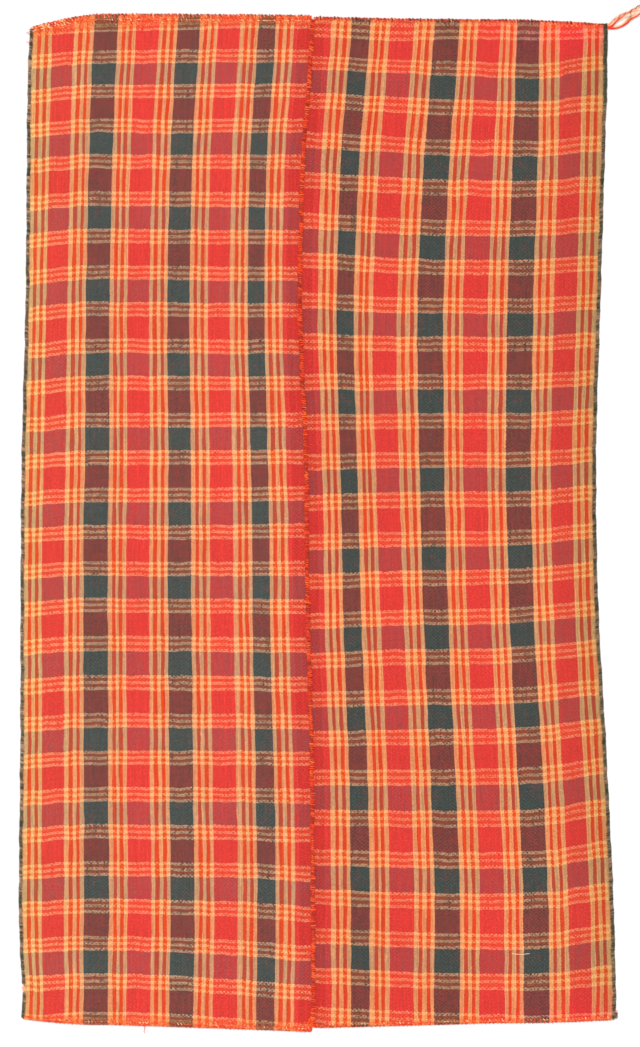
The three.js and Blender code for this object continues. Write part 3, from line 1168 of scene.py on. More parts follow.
class StitchTree:
    """The Geometry Nodes tree that sews a row of stitches along a line."""

    INPUTS: tuple[tuple[str, str, object], ...] = (
        ("Spacing", "NodeSocketFloat", 0.004),
        ("Yarn radius", "NodeSocketFloat", 0.001),
        ("Entry", "NodeSocketVector", (0.0, 0.0, 0.0)),
        ("Crown", "NodeSocketVector", (0.0, 0.0, 0.004)),
        ("Exit", "NodeSocketVector", (0.0, 0.004, 0.0)),
        ("Swing", "NodeSocketFloat", 0.15),
        ("Smallest", "NodeSocketFloat", 0.85),
        ("Largest", "NodeSocketFloat", 1.15),
        ("Seed", "NodeSocketInt", 1),
        ("Yarn", "NodeSocketMaterial", None),
    )
    LOOP_STEPS = 6
    YARN_SIDES = 5

    def __init__(self) -> None:
        """Builds the tree: points along the line, a yarn loop on each, made real."""
        self.tree = bpy.data.node_groups.new("Row of stitches", "GeometryNodeTree")
        face = self.tree.interface
        face.new_socket(name="Line", in_out="INPUT", socket_type="NodeSocketGeometry")
        for name, kind, value in self.INPUTS:
            socket = face.new_socket(name=name, in_out="INPUT", socket_type=kind)
            if value is not None:
                socket.default_value = value
        face.new_socket(name="Stitches", in_out="OUTPUT", socket_type="NodeSocketGeometry")
        n = Nodes(self.tree)
        into, out = n.add("NodeGroupInput"), n.add("NodeGroupOutput")
        given = into.outputs
        line = n.wire("GeometryNodeMeshToCurve", {0: given["Line"]})
        spots = n.wire(
            "GeometryNodeCurveToPoints",
            {"Curve": line.outputs[0], "Length": given["Spacing"]},
            mode="LENGTH",
        )
        facing = n.wire(
            "FunctionNodeAlignRotationToVector",
            {"Vector": spots.outputs["Tangent"]},
            axis="X",
            pivot_axis="Z",
        )
        swing = self.dice(n, into, n.times(given["Swing"], -1.0), given["Swing"], 0)
        turn = n.wire("FunctionNodeEulerToRotation", {0: n.vector(0.0, 0.0, swing)})
        turned = n.wire(
            "FunctionNodeRotateRotation",
            {0: facing.outputs[0], 1: turn.outputs[0]},
            rotation_space="LOCAL",
        )
        loop = n.wire("GeometryNodeCurveQuadraticBezier", {
            "Resolution": self.LOOP_STEPS,
            "Start": given["Entry"],
            "Middle": given["Crown"],
            "End": given["Exit"],
        })
        ring = n.wire(
            "GeometryNodeCurvePrimitiveCircle",
            {"Resolution": self.YARN_SIDES, "Radius": given["Yarn radius"]},
            mode="RADIUS",
        )
        yarn = n.wire("GeometryNodeCurveToMesh", {
            "Curve": loop.outputs[0], "Profile Curve": ring.outputs[0], "Fill Caps": True,
        })
        size = self.dice(n, into, given["Smallest"], given["Largest"], 7)
        sewn = n.wire("GeometryNodeInstanceOnPoints", {
            "Points": spots.outputs["Points"],
            "Instance": yarn.outputs[0],
            "Rotation": turned.outputs[0],
            "Scale": n.vector(size, size, 1.0),
        })
        shade = n.wire(
            "GeometryNodeStoreNamedAttribute",
            {
                "Geometry": sewn.outputs[0],
                "Name": "tone",
                "Value": self.dice(n, into, 0.0, 1.0, 13),
            },
            data_type="FLOAT",
            domain="INSTANCE",
        )
        real = n.wire("GeometryNodeRealizeInstances", {0: shade.outputs[0]})
        smooth = n.wire("GeometryNodeSetShadeSmooth", {"Geometry": real.outputs[0]})
        dressed = n.wire("GeometryNodeSetMaterial", {
            "Geometry": smooth.outputs[0], "Material": given["Yarn"],
        })
        n.feed(out.inputs[0], dressed.outputs[0])
        self.keys = {
            item.name: item.identifier
            for item in face.items_tree
            if item.item_type == "SOCKET" and item.in_out == "INPUT"
        }

    @staticmethod
    def dice(n: Nodes, into: Node, low: object, high: object, shift: int) -> object:
        """Adds a random number for each stitch.

        Args:
            n: The tree's nodes.
            into: The group's input node, which gives the seed.
            low: The lowest value.
            high: The highest value.
            shift: What is added to the row's seed.

        Returns:
            The number's socket.
        """
        node = n.add("FunctionNodeRandomValue", data_type="FLOAT")
        n.feed(node.inputs[2], low)
        n.feed(node.inputs[3], high)
        n.feed(node.inputs["Seed"], n.plus(into.outputs["Seed"], float(shift)))
        return node.outputs[1]


@dataclass
class StitchRow:
    """One row of stitches. Sizes are in millimetres, along the line, across it and up."""

    name: str
    slot: str
    spacing: float
    radius: float
    entry: Point
    crown: Point
    exit: Point
    seed: int
    swing: float = 0.15
    smallest: float = 0.85
    largest: float = 1.15

    def sew(
        self, tree: StitchTree, lines: list[np.ndarray], yarn: Material,
        *stands_for: str,
    ) -> Thing:
        """Sews the row along its lines.

        Args:
            tree: The stitch tree.
            lines: The lines' points in metres.
            yarn: The row's yarn.
            stands_for: The CAD nodes that the row replaces.

        Returns:
            The finished piece.
        """
        mesh = bpy.data.meshes.new(self.name)
        edges: list[tuple[int, int]] = []
        start = 0
        for line in lines:
            edges += [(start + i, start + i + 1) for i in range(len(line) - 1)]
            start += len(line)
        mesh.from_pydata(np.concatenate(lines).tolist(), edges, [])
        piece = new_object(self.name, mesh)
        sewing = piece.modifiers.new("Stitches", "NODES")
        sewing.node_group = tree.tree
        values: dict[str, object] = {
            "Spacing": self.spacing / 1000,
            "Yarn radius": self.radius / 1000,
            "Entry": tuple(v / 1000 for v in self.entry),
            "Crown": tuple(v / 1000 for v in self.crown),
            "Exit": tuple(v / 1000 for v in self.exit),
            "Swing": self.swing,
            "Smallest": self.smallest,
            "Largest": self.largest,
            "Seed": self.seed,
            "Yarn": yarn,
        }
        for name, value in values.items():
            sewing[tree.keys[name]] = value
        bpy.context.view_layer.update()
        ready = piece.evaluated_get(bpy.context.evaluated_depsgraph_get())
        sewn = bpy.data.meshes.new_from_object(ready)
        piece.modifiers.remove(sewing)
        piece.data = sewn
        sewn.name = self.name
        bpy.data.meshes.remove(mesh)
        return settle(piece, self.slot, *stands_for)


@dataclass
class Panel:
    """One loom width of the cloth, with its two hems. Sizes are in millimetres."""

    name: str
    node: str
    side: int
    outer: Run
    middle: Run
    middle_share: float
    counts: tuple[float, ...]
    body: tuple[float, ...]
    at_seam: tuple[float, ...]
    at_edge: tuple[float, ...]
    seam_reach: float
    edge_reach: float
    top_hem: tuple[float, float, float]
    bottom_hem: tuple[float, float, float]
    slack: Pull
    sway: Pull
    finish: PlaidFinish
    width: float = 590.0
    length: float = 2060.0
    thickness: float = 1.8
    hem_thickness: float = 2.9
    hem_depth: float = 13.0
    hem_seam_reach: float = 360.0
    turn_in: tuple[float, float] = (17.0, 13.0)
    columns: int = 192
    rows: int = 200
    tuck_outer: float = 0.006
    tuck_seam: float = 0.005
    edging_cover: float = 6.3
    seam_cover: float = 4.6
    slack_fade: float = 18.0
    sway_fade: float = 0.06

    def lay(self, across: np.ndarray, count: np.ndarray, from_hem: np.ndarray) -> np.ndarray:
        """Lays a point of the panel out on the cutting sheet.

        Args:
            across: Its share of the width, from the outer side to the seam side.
            count: How many weft groups lie above it.
            from_hem: Its distance from the nearer hem.

        Returns:
            Its distances from the left and down, stacked in the last axis.
        """
        to_seam = fade((1 - across) * self.width, self.seam_reach)
        to_edge = fade(across * self.width, self.edge_reach)
        down = (
            follow(self.counts, self.body, count)
            + follow(self.counts, self.at_seam, count) * to_seam
            + follow(self.counts, self.at_edge, count) * to_edge
            + self.slack.at(across, count) * np.clip(from_hem / self.slack_fade, 0, 1)
        )
        outer = run_at(self.outer, down) - self.side * self.edging_cover
        middle = run_at(self.middle, down)
        seam = run_at(Run.SEAM, down) + self.side * (self.seam_cover + fade(from_hem, 12))
        share = self.middle_share
        left = (
            outer * (across - share) * (across - 1) / share
            + middle * across * (across - 1) / (share * (share - 1))
            + seam * across * (across - share) / (1 - share)
        )
        inside = np.clip(np.minimum(across, 1 - across) / self.sway_fade, 0, 1)
        left = left + self.sway.at(across, count) * inside
        return np.stack([left, down], axis=-1)

    def hem_count(self, hem: tuple[float, float, float], across: np.ndarray) -> np.ndarray:
        """Gives the weft count at which the cloth ends.

        Args:
            hem: The count in the body, and what is added at the seam and at the edge.
            across: The share of the width.

        Returns:
            The count there.
        """
        body, seam, edge = hem
        to_seam = fade((1 - across) * self.width, self.hem_seam_reach)
        return body + seam * to_seam + edge * fade(across * self.width, self.edge_reach)

    def hem_line(self, top: bool, steps: int, inset: float, up: float) -> np.ndarray:
        """Gives a line along a hem.

        Args:
            top: True for the top hem.
            steps: How many points it gets.
            inset: How far inside the cloth it runs.
            up: Its height above the cloth's underside.

        Returns:
            The line's points in metres, from left to right.
        """
        across = np.linspace(0.004, 0.996, steps)
        if self.side > 0:
            across = across[::-1]
        count = self.hem_count(self.top_hem if top else self.bottom_hem, across)
        places = self.lay(across, count, np.zeros(steps))
        lift = self.relief(across, places[:, 1])
        down = places[:, 1] + (inset if top else -inset)
        return GROUND.place(places[:, 0], down, lift + up)

    def relief(self, across: np.ndarray, down: np.ndarray) -> np.ndarray:
        """Gives the soft lie of the cloth: broad ripples and puckers along the seam.

        Args:
            across: Shares of the width.
            down: Distances down.

        Returns:
            How far the cloth's underside is off the floor.
        """
        x = across * self.width
        phase = 1.7 * self.side
        broad = 0.5 * np.sin(2 * math.pi * (x / 330 + down / 790) + phase)
        broad += 0.4 * np.sin(2 * math.pi * (x / 190 - down / 430) + 1.3 + phase)
        broad += 0.25 * np.sin(2 * math.pi * (x / 74 + down / 260) + 2.1)
        near_seam = fade((1 - across) * self.width, 90)
        pucker = np.sin(down / 41 * 2 * math.pi + 0.8 * np.sin(down / 97)) * 0.55 + 0.5
        pucker += 0.35 * np.sin(down / 17 * 2 * math.pi)
        near_edge = fade(across * self.width, 40)
        edge = 0.4 + 0.4 * np.sin(down / 67 * 2 * math.pi + phase)
        lift = (broad + 1.15) * 0.55 + pucker * near_seam + edge * near_edge
        return np.maximum(lift, 0.0) * (1 - self.beside_band(across))

    def beside_band(self, across: np.ndarray) -> np.ndarray:
        """Tells how near a point is to the seam or the edging, from zero to one."""
        to_outer = np.maximum(across * self.width - 2, 0)
        to_seam = np.maximum((1 - across) * self.width - 2, 0)
        return np.maximum(fade(to_outer, 10), fade(to_seam, 10))

    def scallops(self, across: np.ndarray, top: bool) -> np.ndarray:
        """Gives how far the hem bulges outwards between its stitches."""
        pitch, reach = (12.5, 3.0) if top else (9.0, 1.0)
        phase = across * self.width / pitch * math.pi
        return reach * (np.abs(np.sin(phase)) - 0.4)

    def build(self, groups: WeaveGroups) -> Thing:
        """Builds the panel as one closed sheet.

        Args:
            groups: The shared weave groups.

        Returns:
            The finished piece.
        """
        across = np.linspace(-self.tuck_outer, 1 + self.tuck_seam, self.columns + 1)
        share = np.linspace(0, 1, self.rows - 7)
        share = np.unique(np.concatenate([share, [0.0008, 0.002, 0.0045, 0.007]]))
        share = np.unique(np.concatenate([share, 1 - share[:5]]))
        grid_a, grid_s = np.meshgrid(across, share)
        top = self.hem_count(self.top_hem, grid_a)
        bottom = self.hem_count(self.bottom_hem, grid_a)
        count = top + (bottom - top) * grid_s
        from_hem = np.minimum(grid_s, 1 - grid_s) * self.length
        places = self.lay(grid_a, count, from_hem)
        down = places[..., 1]
        down = down - self.scallops(grid_a, True) * fade(grid_s * self.length, 7)
        down = down + self.scallops(grid_a, False) * fade((1 - grid_s) * self.length, 6)
        lift = self.relief(grid_a, down)
        hem = np.clip((self.hem_depth - from_hem) / 2.5, 0, 1)
        thick = self.thickness + (self.hem_thickness - self.thickness) * hem
        thick = thick * (1 - 0.35 * self.beside_band(grid_a))
        rounded = np.clip(from_hem / 1.6, 0, 1)
        thick = thick * (0.45 + 0.55 * np.sqrt(1 - (1 - rounded) ** 2))
        upper = GROUND.place(places[..., 0], down, lift + thick)
        lower = GROUND.place(places[..., 0], down, lift)
        rows, columns = grid_a.shape
        number = np.arange(rows * columns).reshape(rows, columns)
        a, b = number[:-1, :-1].ravel(), number[:-1, 1:].ravel()
        c, d = number[1:, 1:].ravel(), number[1:, :-1].ravel()
        under = rows * columns
        outline = np.concatenate(
            [number[0, :-1], number[:-1, -1], number[-1, :0:-1], number[:0:-1, 0]]
        )
        onward = np.roll(outline, -1)
        face_up = np.stack([a, d, c, b], 1)
        face_down = np.stack([a, b, c, d], 1) + under
        rim = np.stack([outline, onward, onward + under, outline + under], 1)
        faces = np.concatenate([face_up, face_down, rim])
        if self.side > 0:
            faces = faces[:, ::-1]
        mesh = bpy.data.meshes.new(self.name)
        mesh.from_pydata(np.concatenate([upper, lower]).tolist(), [], faces.tolist())
        chart = np.stack([grid_a, (count + 1) / 30], -1).reshape(-1, 2)
        chart = np.concatenate([chart, chart])
        loops = np.zeros(len(mesh.loops), np.int32)
        mesh.loops.foreach_get("vertex_index", loops)
        cloth = mesh.uv_layers.new(name="cloth")
        cloth.data.foreach_set("uv", chart[loops].astype(np.float32).ravel())
        turned = np.clip((self.turn_in[0] - grid_s * self.length) / 2, 0, 1)
        turned += np.clip((self.turn_in[1] - (1 - grid_s) * self.length) / 2, 0, 1)
        hem_mask = mesh.attributes.new("hem", "FLOAT", "POINT")
        hem_mask.data.foreach_set("value", np.tile(turned.ravel(), 2).astype(np.float32))
        mesh.materials.append(self.finish.material(groups))
        mesh.polygons.foreach_set("use_smooth", [True] * len(mesh.polygons))
        piece = new_object(self.name, mesh)
        settle(piece, self.finish.slot, self.node)
        return piece


def left_panel() -> Panel:
    """Describes the left loom width."""
    return Panel(
        name="left_loom_width",
        node="panel_left",
        side=-1,
        outer=Run.LEFT_EDGE,
        middle=Run.LEFT_MIDDLE,
        middle_share=0.4815,
        counts=(0, 4, 8, 12, 16, 20, 24, 27),
        body=(12, 300, 603.5, 906.5, 1210, 1521.5, 1828, 2056),
        at_seam=(0, 1, 2, -2, 2, 3, 15, 29),
        at_edge=(12, 9, 10, 9, 8, 8, 5, -3),
        seam_reach=420,
        edge_reach=140,
        top_hem=(-0.17, 0.04, 0.2),
        bottom_hem=(27.19, -0.19, -0.11),
        slack=Pull((
            (0.1, 8, 11, 5, 0, 1.5), (0.35, 5, 6, 3, 0, 1), (0.8, 1, 2, 0.6, -0.6, 0),
            (1.4, 2, 1, 1, -1, -2),
            (4, 0, -2, 0, -1, -1), (5.6, 2.5, 1, 2, 3.5, 2.5), (7.8, 0, -2, -1.5, -0.5, -1.5),
            (10, 0, -2, -1.5, -1, -1), (12, 1, 0, 0, 0, 0), (14.2, 0.5, 1, 2, 1, -1.5),
            (16.4, 0, -2, -0.5, 0, 0), (18.5, 3.5, 2, 2.5, 2.5, 4), (20.6, 0, -1, -2, -3, -2.5),
            (22.8, -1, -3, -2.5, -5, -3), (24.4, 0, -2.5, -2.5, -3.5, -0.5),
            (25.7, 1.5, -2, -2, -1, 0), (26.6, 9, 2, -0.5, 0, 0), (27.2, 8, 1, 0, 0, 0),
        )),
        sway=Pull((
            (0, 1, 1, 1.5, -1, 0), (4, 0.5, 0, -0.5, -1.5, -1), (7.8, -2, -1, 0.5, 1, 0.5),
            (12, 0, 0.5, 0, -1, -2.5), (14, -2, -1, 0, 0.5, 0), (18.5, -1.5, 0.5, 1, 2, 0),
            (20.6, -1.5, 0, 0.5, 1.5, 2), (22.8, -0.5, 0, 0.5, 2, 3), (24.4, 0, -0.5, 0, 1.5, 2),
            (25.7, -1.5, -2.5, -0.5, 1.5, 1.5), (27.2, -1, -2.5, -2, 0.5, -0.5),
        )),
        finish=PlaidFinish(
            name="Left plaid twill",
            warp_draft=(
                "C8 O6 C6 O6 C6 R36 C7 O7 C6 O5 C7 D40 C7 O6 C5 O6 C6 R38 C6 O7 C6 O6 C6",
                "D38 C7 O6 C6 O6 C6 R38 C8 O6 C5 O6 C6 D29 C6 O7 C6 O6 C6 R7 M20",
            ),
            half_repeat=64,
            striped_picks=25,
            line_pair=10,
            start=11,
            batch=3.0,
            dyes=LEFT_BATCH,
            outer_tint=(0.99, 1.22, 1.06, 1.0),
        ),
    )


def right_panel() -> Panel:
    """Describes the right loom width."""
    return Panel(
        name="right_loom_width",
        node="panel_right",
        side=1,
        outer=Run.RIGHT_EDGE,
        middle=Run.RIGHT_MIDDLE,
        middle_share=0.4845,
        counts=(0, 4, 8, 12, 16, 20, 24, 25),
        body=(30.5, 354.5, 675, 994, 1314.5, 1645.5, 1981, 2063),
        at_seam=(-5, -13, -6, 7, 8, -1, -12, -14),
        at_edge=(-3, -6, -8, -11, -15, -16, -11, -8),
        seam_reach=300,
        edge_reach=200,
        top_hem=(-0.235, -0.015, 0.15),
        bottom_hem=(25.05, 0.3, 0.02),
        turn_in=(9.5, 10.0),
        slack=Pull((
            (0.1, 4.5, 5.5, 1.5, 6.5, 3), (0.4, 1, 5, 1.5, 7, 3.5), (1, -11, 3.5, -2, -5.5, -8),
            (2, -9, 0, -3.5, -7, -9), (3.3, -5, 0.5, -3, -5.5, -6), (4.8, -1, 2.5, 1, -1, -2.5),
            (7, -1, 2, 0, 0.5, -3), (9, -4, -2.5, -3.5, -1.5, -1), (11, -4, -2, -3.5, -3, -2.5),
            (13, -6, -2.5, -1, -2, -1.5), (15, -5.5, -4, -0.5, -1, -0.5),
            (17, -4.5, -3, 0.5, 0, 0.5), (19, -8, -2.5, -1, 0, -1), (21, -5, 2.5, 3, 2.5, 0.5),
            (22.5, -5, 2.5, 2.5, 1, -0.5), (23.7, -6.5, 0.5, -0.5, -1, -2),
            (24.5, 3.5, 4.5, -1, -2, -1.5), (25.1, 3.5, 4, -1, -2, -1),
        )),
        sway=Pull((
            (0, -2, -9.5, 2, 3.5, 3), (0.5, -2, -9, 2, 3, 3), (1, -2.5, -8, 2, 2.5, 2.5),
            (2, -2.5, -4.5, 1, 1.5, 0.5), (3.3, -1.5, -2, -1, 0, 1), (4.8, 0, -1, -0.5, -0.5, 2),
            (7, 1.5, 1, 0, -1.5, 1.5), (9, 1, 2, 0.5, -4, 0), (11, 0, 0.5, 0, -3.5, -1),
            (13, 0.5, 0, 0, -1.5, 0), (17, -1, -1, -0.5, 1, -0.5), (19, 0, 0.5, 0.5, 2.5, 2),
            (21, 0, 0, 0.5, 1.5, 1), (23.7, 0, -0.5, -1.5, -0.5, 0.5), (25, -1, -1, -2, -0.5, 1),
        )),
        finish=PlaidFinish(
            name="Right plaid twill",
            warp_draft=(
                "C8 O6 C6 O6 C7 R35 C7 O6 C7 O5 C7 D40 C6 O6 C7 O5 C6 R39 C6 O6 C6 O6 C7",
                "D40 C6 O6 C7 O6 C7 R38 C7 O6 C5 O5 C8 D29 C6 O6 C6 O5 C7 R9 M15",
            ),
            half_repeat=68,
            striped_picks=27,
            line_pair=11,
            start=12,
            batch=11.0,
            dyes=RIGHT_BATCH,
            outer_tint=(0.8, 0.95, 0.83, 1.0),
            gain=0.975,
            blush=0.85,
        ),
    )


@dataclass
class Band:
    """A band of yarn that runs down the cloth, with its wraps. Sizes are in millimetres."""

    name: str
    node: str
    slot: str
    run: Run
    from_down: float
    to_down: float
    offset: float
    width: float
    height: float
    wraps: tuple[StitchRow, ...]
    wander: float = 0.0

    def line(self, up: float, shift: float = 0.0, steps: int = 420) -> np.ndarray:
        """Gives a line down the band.

        Args:
            up: The line's height.
            shift: How far to the right of the band's middle it runs.
            steps: How many points it gets.

        Returns:
            The points in metres, from the top down.
        """
        down = np.linspace(self.from_down, self.to_down, steps)
        stray = np.sin(down / 21) + 0.7 * np.sin(down / 9.7 + 1) + 0.6 * np.sin(down / 5.3)
        left = run_at(self.run, down) + self.offset + shift + stray * self.wander
        return GROUND.place(left, down, np.full(steps, up))

    def build(
        self, tree: StitchTree, core: Material, yarns: tuple[Material, ...]
    ) -> list[Thing]:
        """Builds the band's core and sews its wraps over it.

        Args:
            tree: The stitch tree.
            core: The core's finish.
            yarns: One finish for each row of wraps.

        Returns:
            The pieces.
        """
        shape = Shape()
        middle = self.line(self.height * 0.46)
        shape.tube(middle, self.width / 2000, 8, 0.3, self.height * 0.46 / (self.width / 2))
        made = [settle(shape.finish(self.name + "_core", core), self.slot, self.node)]
        for wrap, yarn in zip(self.wraps, yarns):
            made.append(wrap.sew(tree, [self.line(0.0)], yarn))
        return made


@dataclass(frozen=True)
class HemRow:
    """Stitches along a hem, their yarn, and how far inside the hem and up each line runs.

    Each line has so many steps from hem end to hem end, and the stitches keep to its reach, from
    one step up to another.
    """

    stitches: StitchRow
    yarn: YarnFinish
    top: bool
    lines: tuple[tuple[float, float], ...]
    steps: int = 300
    reach: tuple[int, int | None] = (0, None)


def catching(name: str, spacing: float, seed: int) -> StitchRow:
    """Describes the small catching stitches along the inner side of a hem.

    Args:
        name: The row's name.
        spacing: The distance between stitches.
        seed: The row's seed.

    Returns:
        The row of stitches.
    """
    return StitchRow(
        name, "seam_yarn", spacing, 0.8, (-1.7, 1.2, 1.5), (0.0, 0.0, 4.2), (1.7, -1.2, 1.5),
        seed, 0.7,
    )


def hem_rows(side: int) -> tuple[HemRow, ...]:
    """Describes the stitches that both panels have over their hems.

    Args:
        side: Minus one for the left panel, which has a deeper top hem, and one for the right.

    Returns:
        The whipping, the dark beads, the catching stitches and the overcasting.
    """
    deep, right = side < 0, int(side > 0)
    panel = "left_loom_width" if deep else "right_loom_width"
    whipping = StitchRow(
        f"{panel}_top_whipping", "seam_yarn", 6.6 if deep else 4.7, 1.05,
        (-2.6, 1.5, 0.7) if deep else (-2.0, 1.3, 0.7),
        (-0.4, 1.2, 6.6) if deep else (-0.2, 1.6, 5.4),
        (3.2, -6.0, 2.4) if deep else (2.0, -2.6, 2.2), 21 + right, 0.3, 0.6, 1.2,
    )
    # The dark beads are partly real dark yarn, partly painted shade in the gaps between the
    # whipping stitches.
    beads = StitchRow(
        f"{panel}_top_beads", "seam_yarn", 7.3, 0.85 if deep else 1.25, (-1.5, 1.4, 0.6),
        (0.0, 2.0, 5.8), (1.6, -2.6, 2.2), 25 + right, 0.7, 0.5, 1.25,
    )
    overcast = StitchRow(
        f"{panel}_bottom_whipping", "seam_yarn", 8.0, 0.75, (-1.0, -1.2, 0.6),
        (0.0, -0.6, 6.0), (1.2, 3.8, 2.5), 51 + right, 0.4, 0.6, 1.1,
    )
    caught = catching(f"{panel}_bottom_hem_stitches", 6.5, 41 + right)
    return (
        HemRow(whipping, HEM_YARN, True, ((0.0, 0.0),)),
        HemRow(beads, DARK_HEM_YARN, True, ((-0.4, 0.2),), 260),
        HemRow(caught, MOTTLED_HEM_YARN, False, ((6.5, 0.9),), 200),
        HemRow(overcast, HEM_YARN, False, ((0.0, 0.0),)),
    )


def left_top_rows() -> tuple[HemRow, ...]:
    """Describes what only the left panel has: its top hem's catching stitches and frayed corner.

    Returns:
        The catching stitches, the thick whipping at the corner and its pale frayed ends.
    """
    caught = catching("left_loom_width_top_hem_stitches", 5.4, 31)
    corner = StitchRow(
        "left_corner_whipping", "seam_yarn", 3.4, 1.25, (-2.6, 0.6, 1.0), (0.0, 0.2, 8.0),
        (3.8, -6.6, 2.8), 91, 0.6, 0.6, 1.2,
    )
    fray = StitchRow(
        "left_corner_fray", "seam_yarn", 6.4, 1.3, (-2.6, 1.2, 1.4), (0.0, 0.4, 7.4),
        (2.8, -2.4, 2.6), 93, 0.9, 0.4, 1.0,
    )
    return (
        HemRow(caught, MOTTLED_HEM_YARN, True, ((10.5, 0.9),), 200),
        HemRow(corner, MOTTLED_HEM_YARN, True, ((0.0, 0.3),), 400, (3, 50)),
        HemRow(fray, FRAYED_YARN, True, ((2.5, 0.6), (8.0, 0.6)), 400, (3, 48)),
    )


def sew_hems(
    tree: StitchTree, fibre: Tree, panels: tuple[Panel, Panel]
) -> dict[str, list[Thing]]:
    """Sews every row over the hems of both panels.

    Args:
        tree: The stitch tree.
        fibre: The yarn fibre group.
        panels: The left and the right panel.

    Returns:
        The rows that belong to each panel.
    """
    finishes = (HEM_YARN, MOTTLED_HEM_YARN, DARK_HEM_YARN, FRAYED_YARN)
    yarns = {finish.name: finish.material(fibre) for finish in finishes}
    work = [(panel, row) for panel in panels for row in hem_rows(panel.side)]
    work += [(panels[0], row) for row in left_top_rows()]
    made: dict[str, list[Thing]] = {panel.name: [] for panel in panels}
    for panel, row in work:
        lines = [
            panel.hem_line(row.top, row.steps, inset, up)[slice(*row.reach)]
            for inset, up in row.lines
        ]
        made[panel.name].append(row.stitches.sew(tree, lines, yarns[row.yarn.name]))
    return made


@dataclass(frozen=True)
class Strand:
    """One yarn of the tassel. Sizes are in millimetres.

    The lane is its place beside the bundle's line, the spread how much further out it ends, the
    share how much of the line it has, and the shades its tones at the root, halfway and the end.
    """

    lane: float
    spread: float
    share: float
    shades: tuple[float, float, float]
    radius: float = 0.95


Places = tuple[tuple[float, float], ...]


@dataclass(frozen=True)
class Bundle:
    """Strands that run together. Places are on the cutting sheet."""

    places: Places
    strands: tuple[Strand, ...]
    up: float


UPPER_BUNDLE = Bundle(
    (
        (1203.4, 22), (1207.5, 19.4), (1212.4, 15.6), (1219.3, 9.6), (1227, 4.1), (1235, -0.8),
        (1243.2, -4.3), (1252.5, -8.8), (1260.7, -14), (1273, -20.4), (1293.5, -31),
    ),
    (
        Strand(-0.6, 0.0, 0.98, (0.45, 0.5, 0.62)),
        Strand(0.7, 1.0, 0.92, (0.5, 0.66, 0.8)),
        Strand(2.0, 2.5, 1.0, (0.4, 0.52, 0.72)),
        Strand(3.3, 4.5, 0.95, (0.55, 0.7, 0.9)),
        Strand(4.4, 7.5, 0.97, (0.5, 0.8, 0.95)),
        Strand(4.9, 11.0, 0.9, (0.6, 0.9, 0.98)),
    ),
    1.7,
)
INNER_BUNDLE = Bundle(
    (
        (1203.4, 26), (1209.5, 25.4), (1215.7, 21.1), (1221.8, 15.4), (1228, 10), (1234.1, 5.3),
        (1240.3, 1), (1246.4, -3.2), (1252.6, -6.6), (1262.8, -10.7), (1271, -13.7), (1287, -21.9),
    ),
    (
        Strand(-0.9, 0.5, 0.72, (0.02, 0.1, 0.4), 1.1),
        Strand(0.3, 3.0, 0.9, (0.0, 0.12, 0.7), 1.3),
    ),
    2.2,
)
LOWER_BUNDLE = Bundle(
    (
        (1203.4, 27.4), (1209.5, 28), (1219.8, 28.2), (1228, 26.7), (1235.1, 23.6), (1241.3, 19.6),
        (1246.4, 14.8), (1250.5, 10.5), (1256.7, 7.2), (1264.9, 3), (1273.1, -1.8), (1289, -10.7),
    ),
    (
        Strand(-1.7, -6.0, 0.85, (0.0, 0.2, 0.8)),
        Strand(-0.5, -1.0, 1.0, (0.0, 0.04, 0.36), 1.3),
        Strand(0.7, 0.4, 0.94, (0.0, 0.1, 0.45), 1.15),
    ),
    1.9,
)


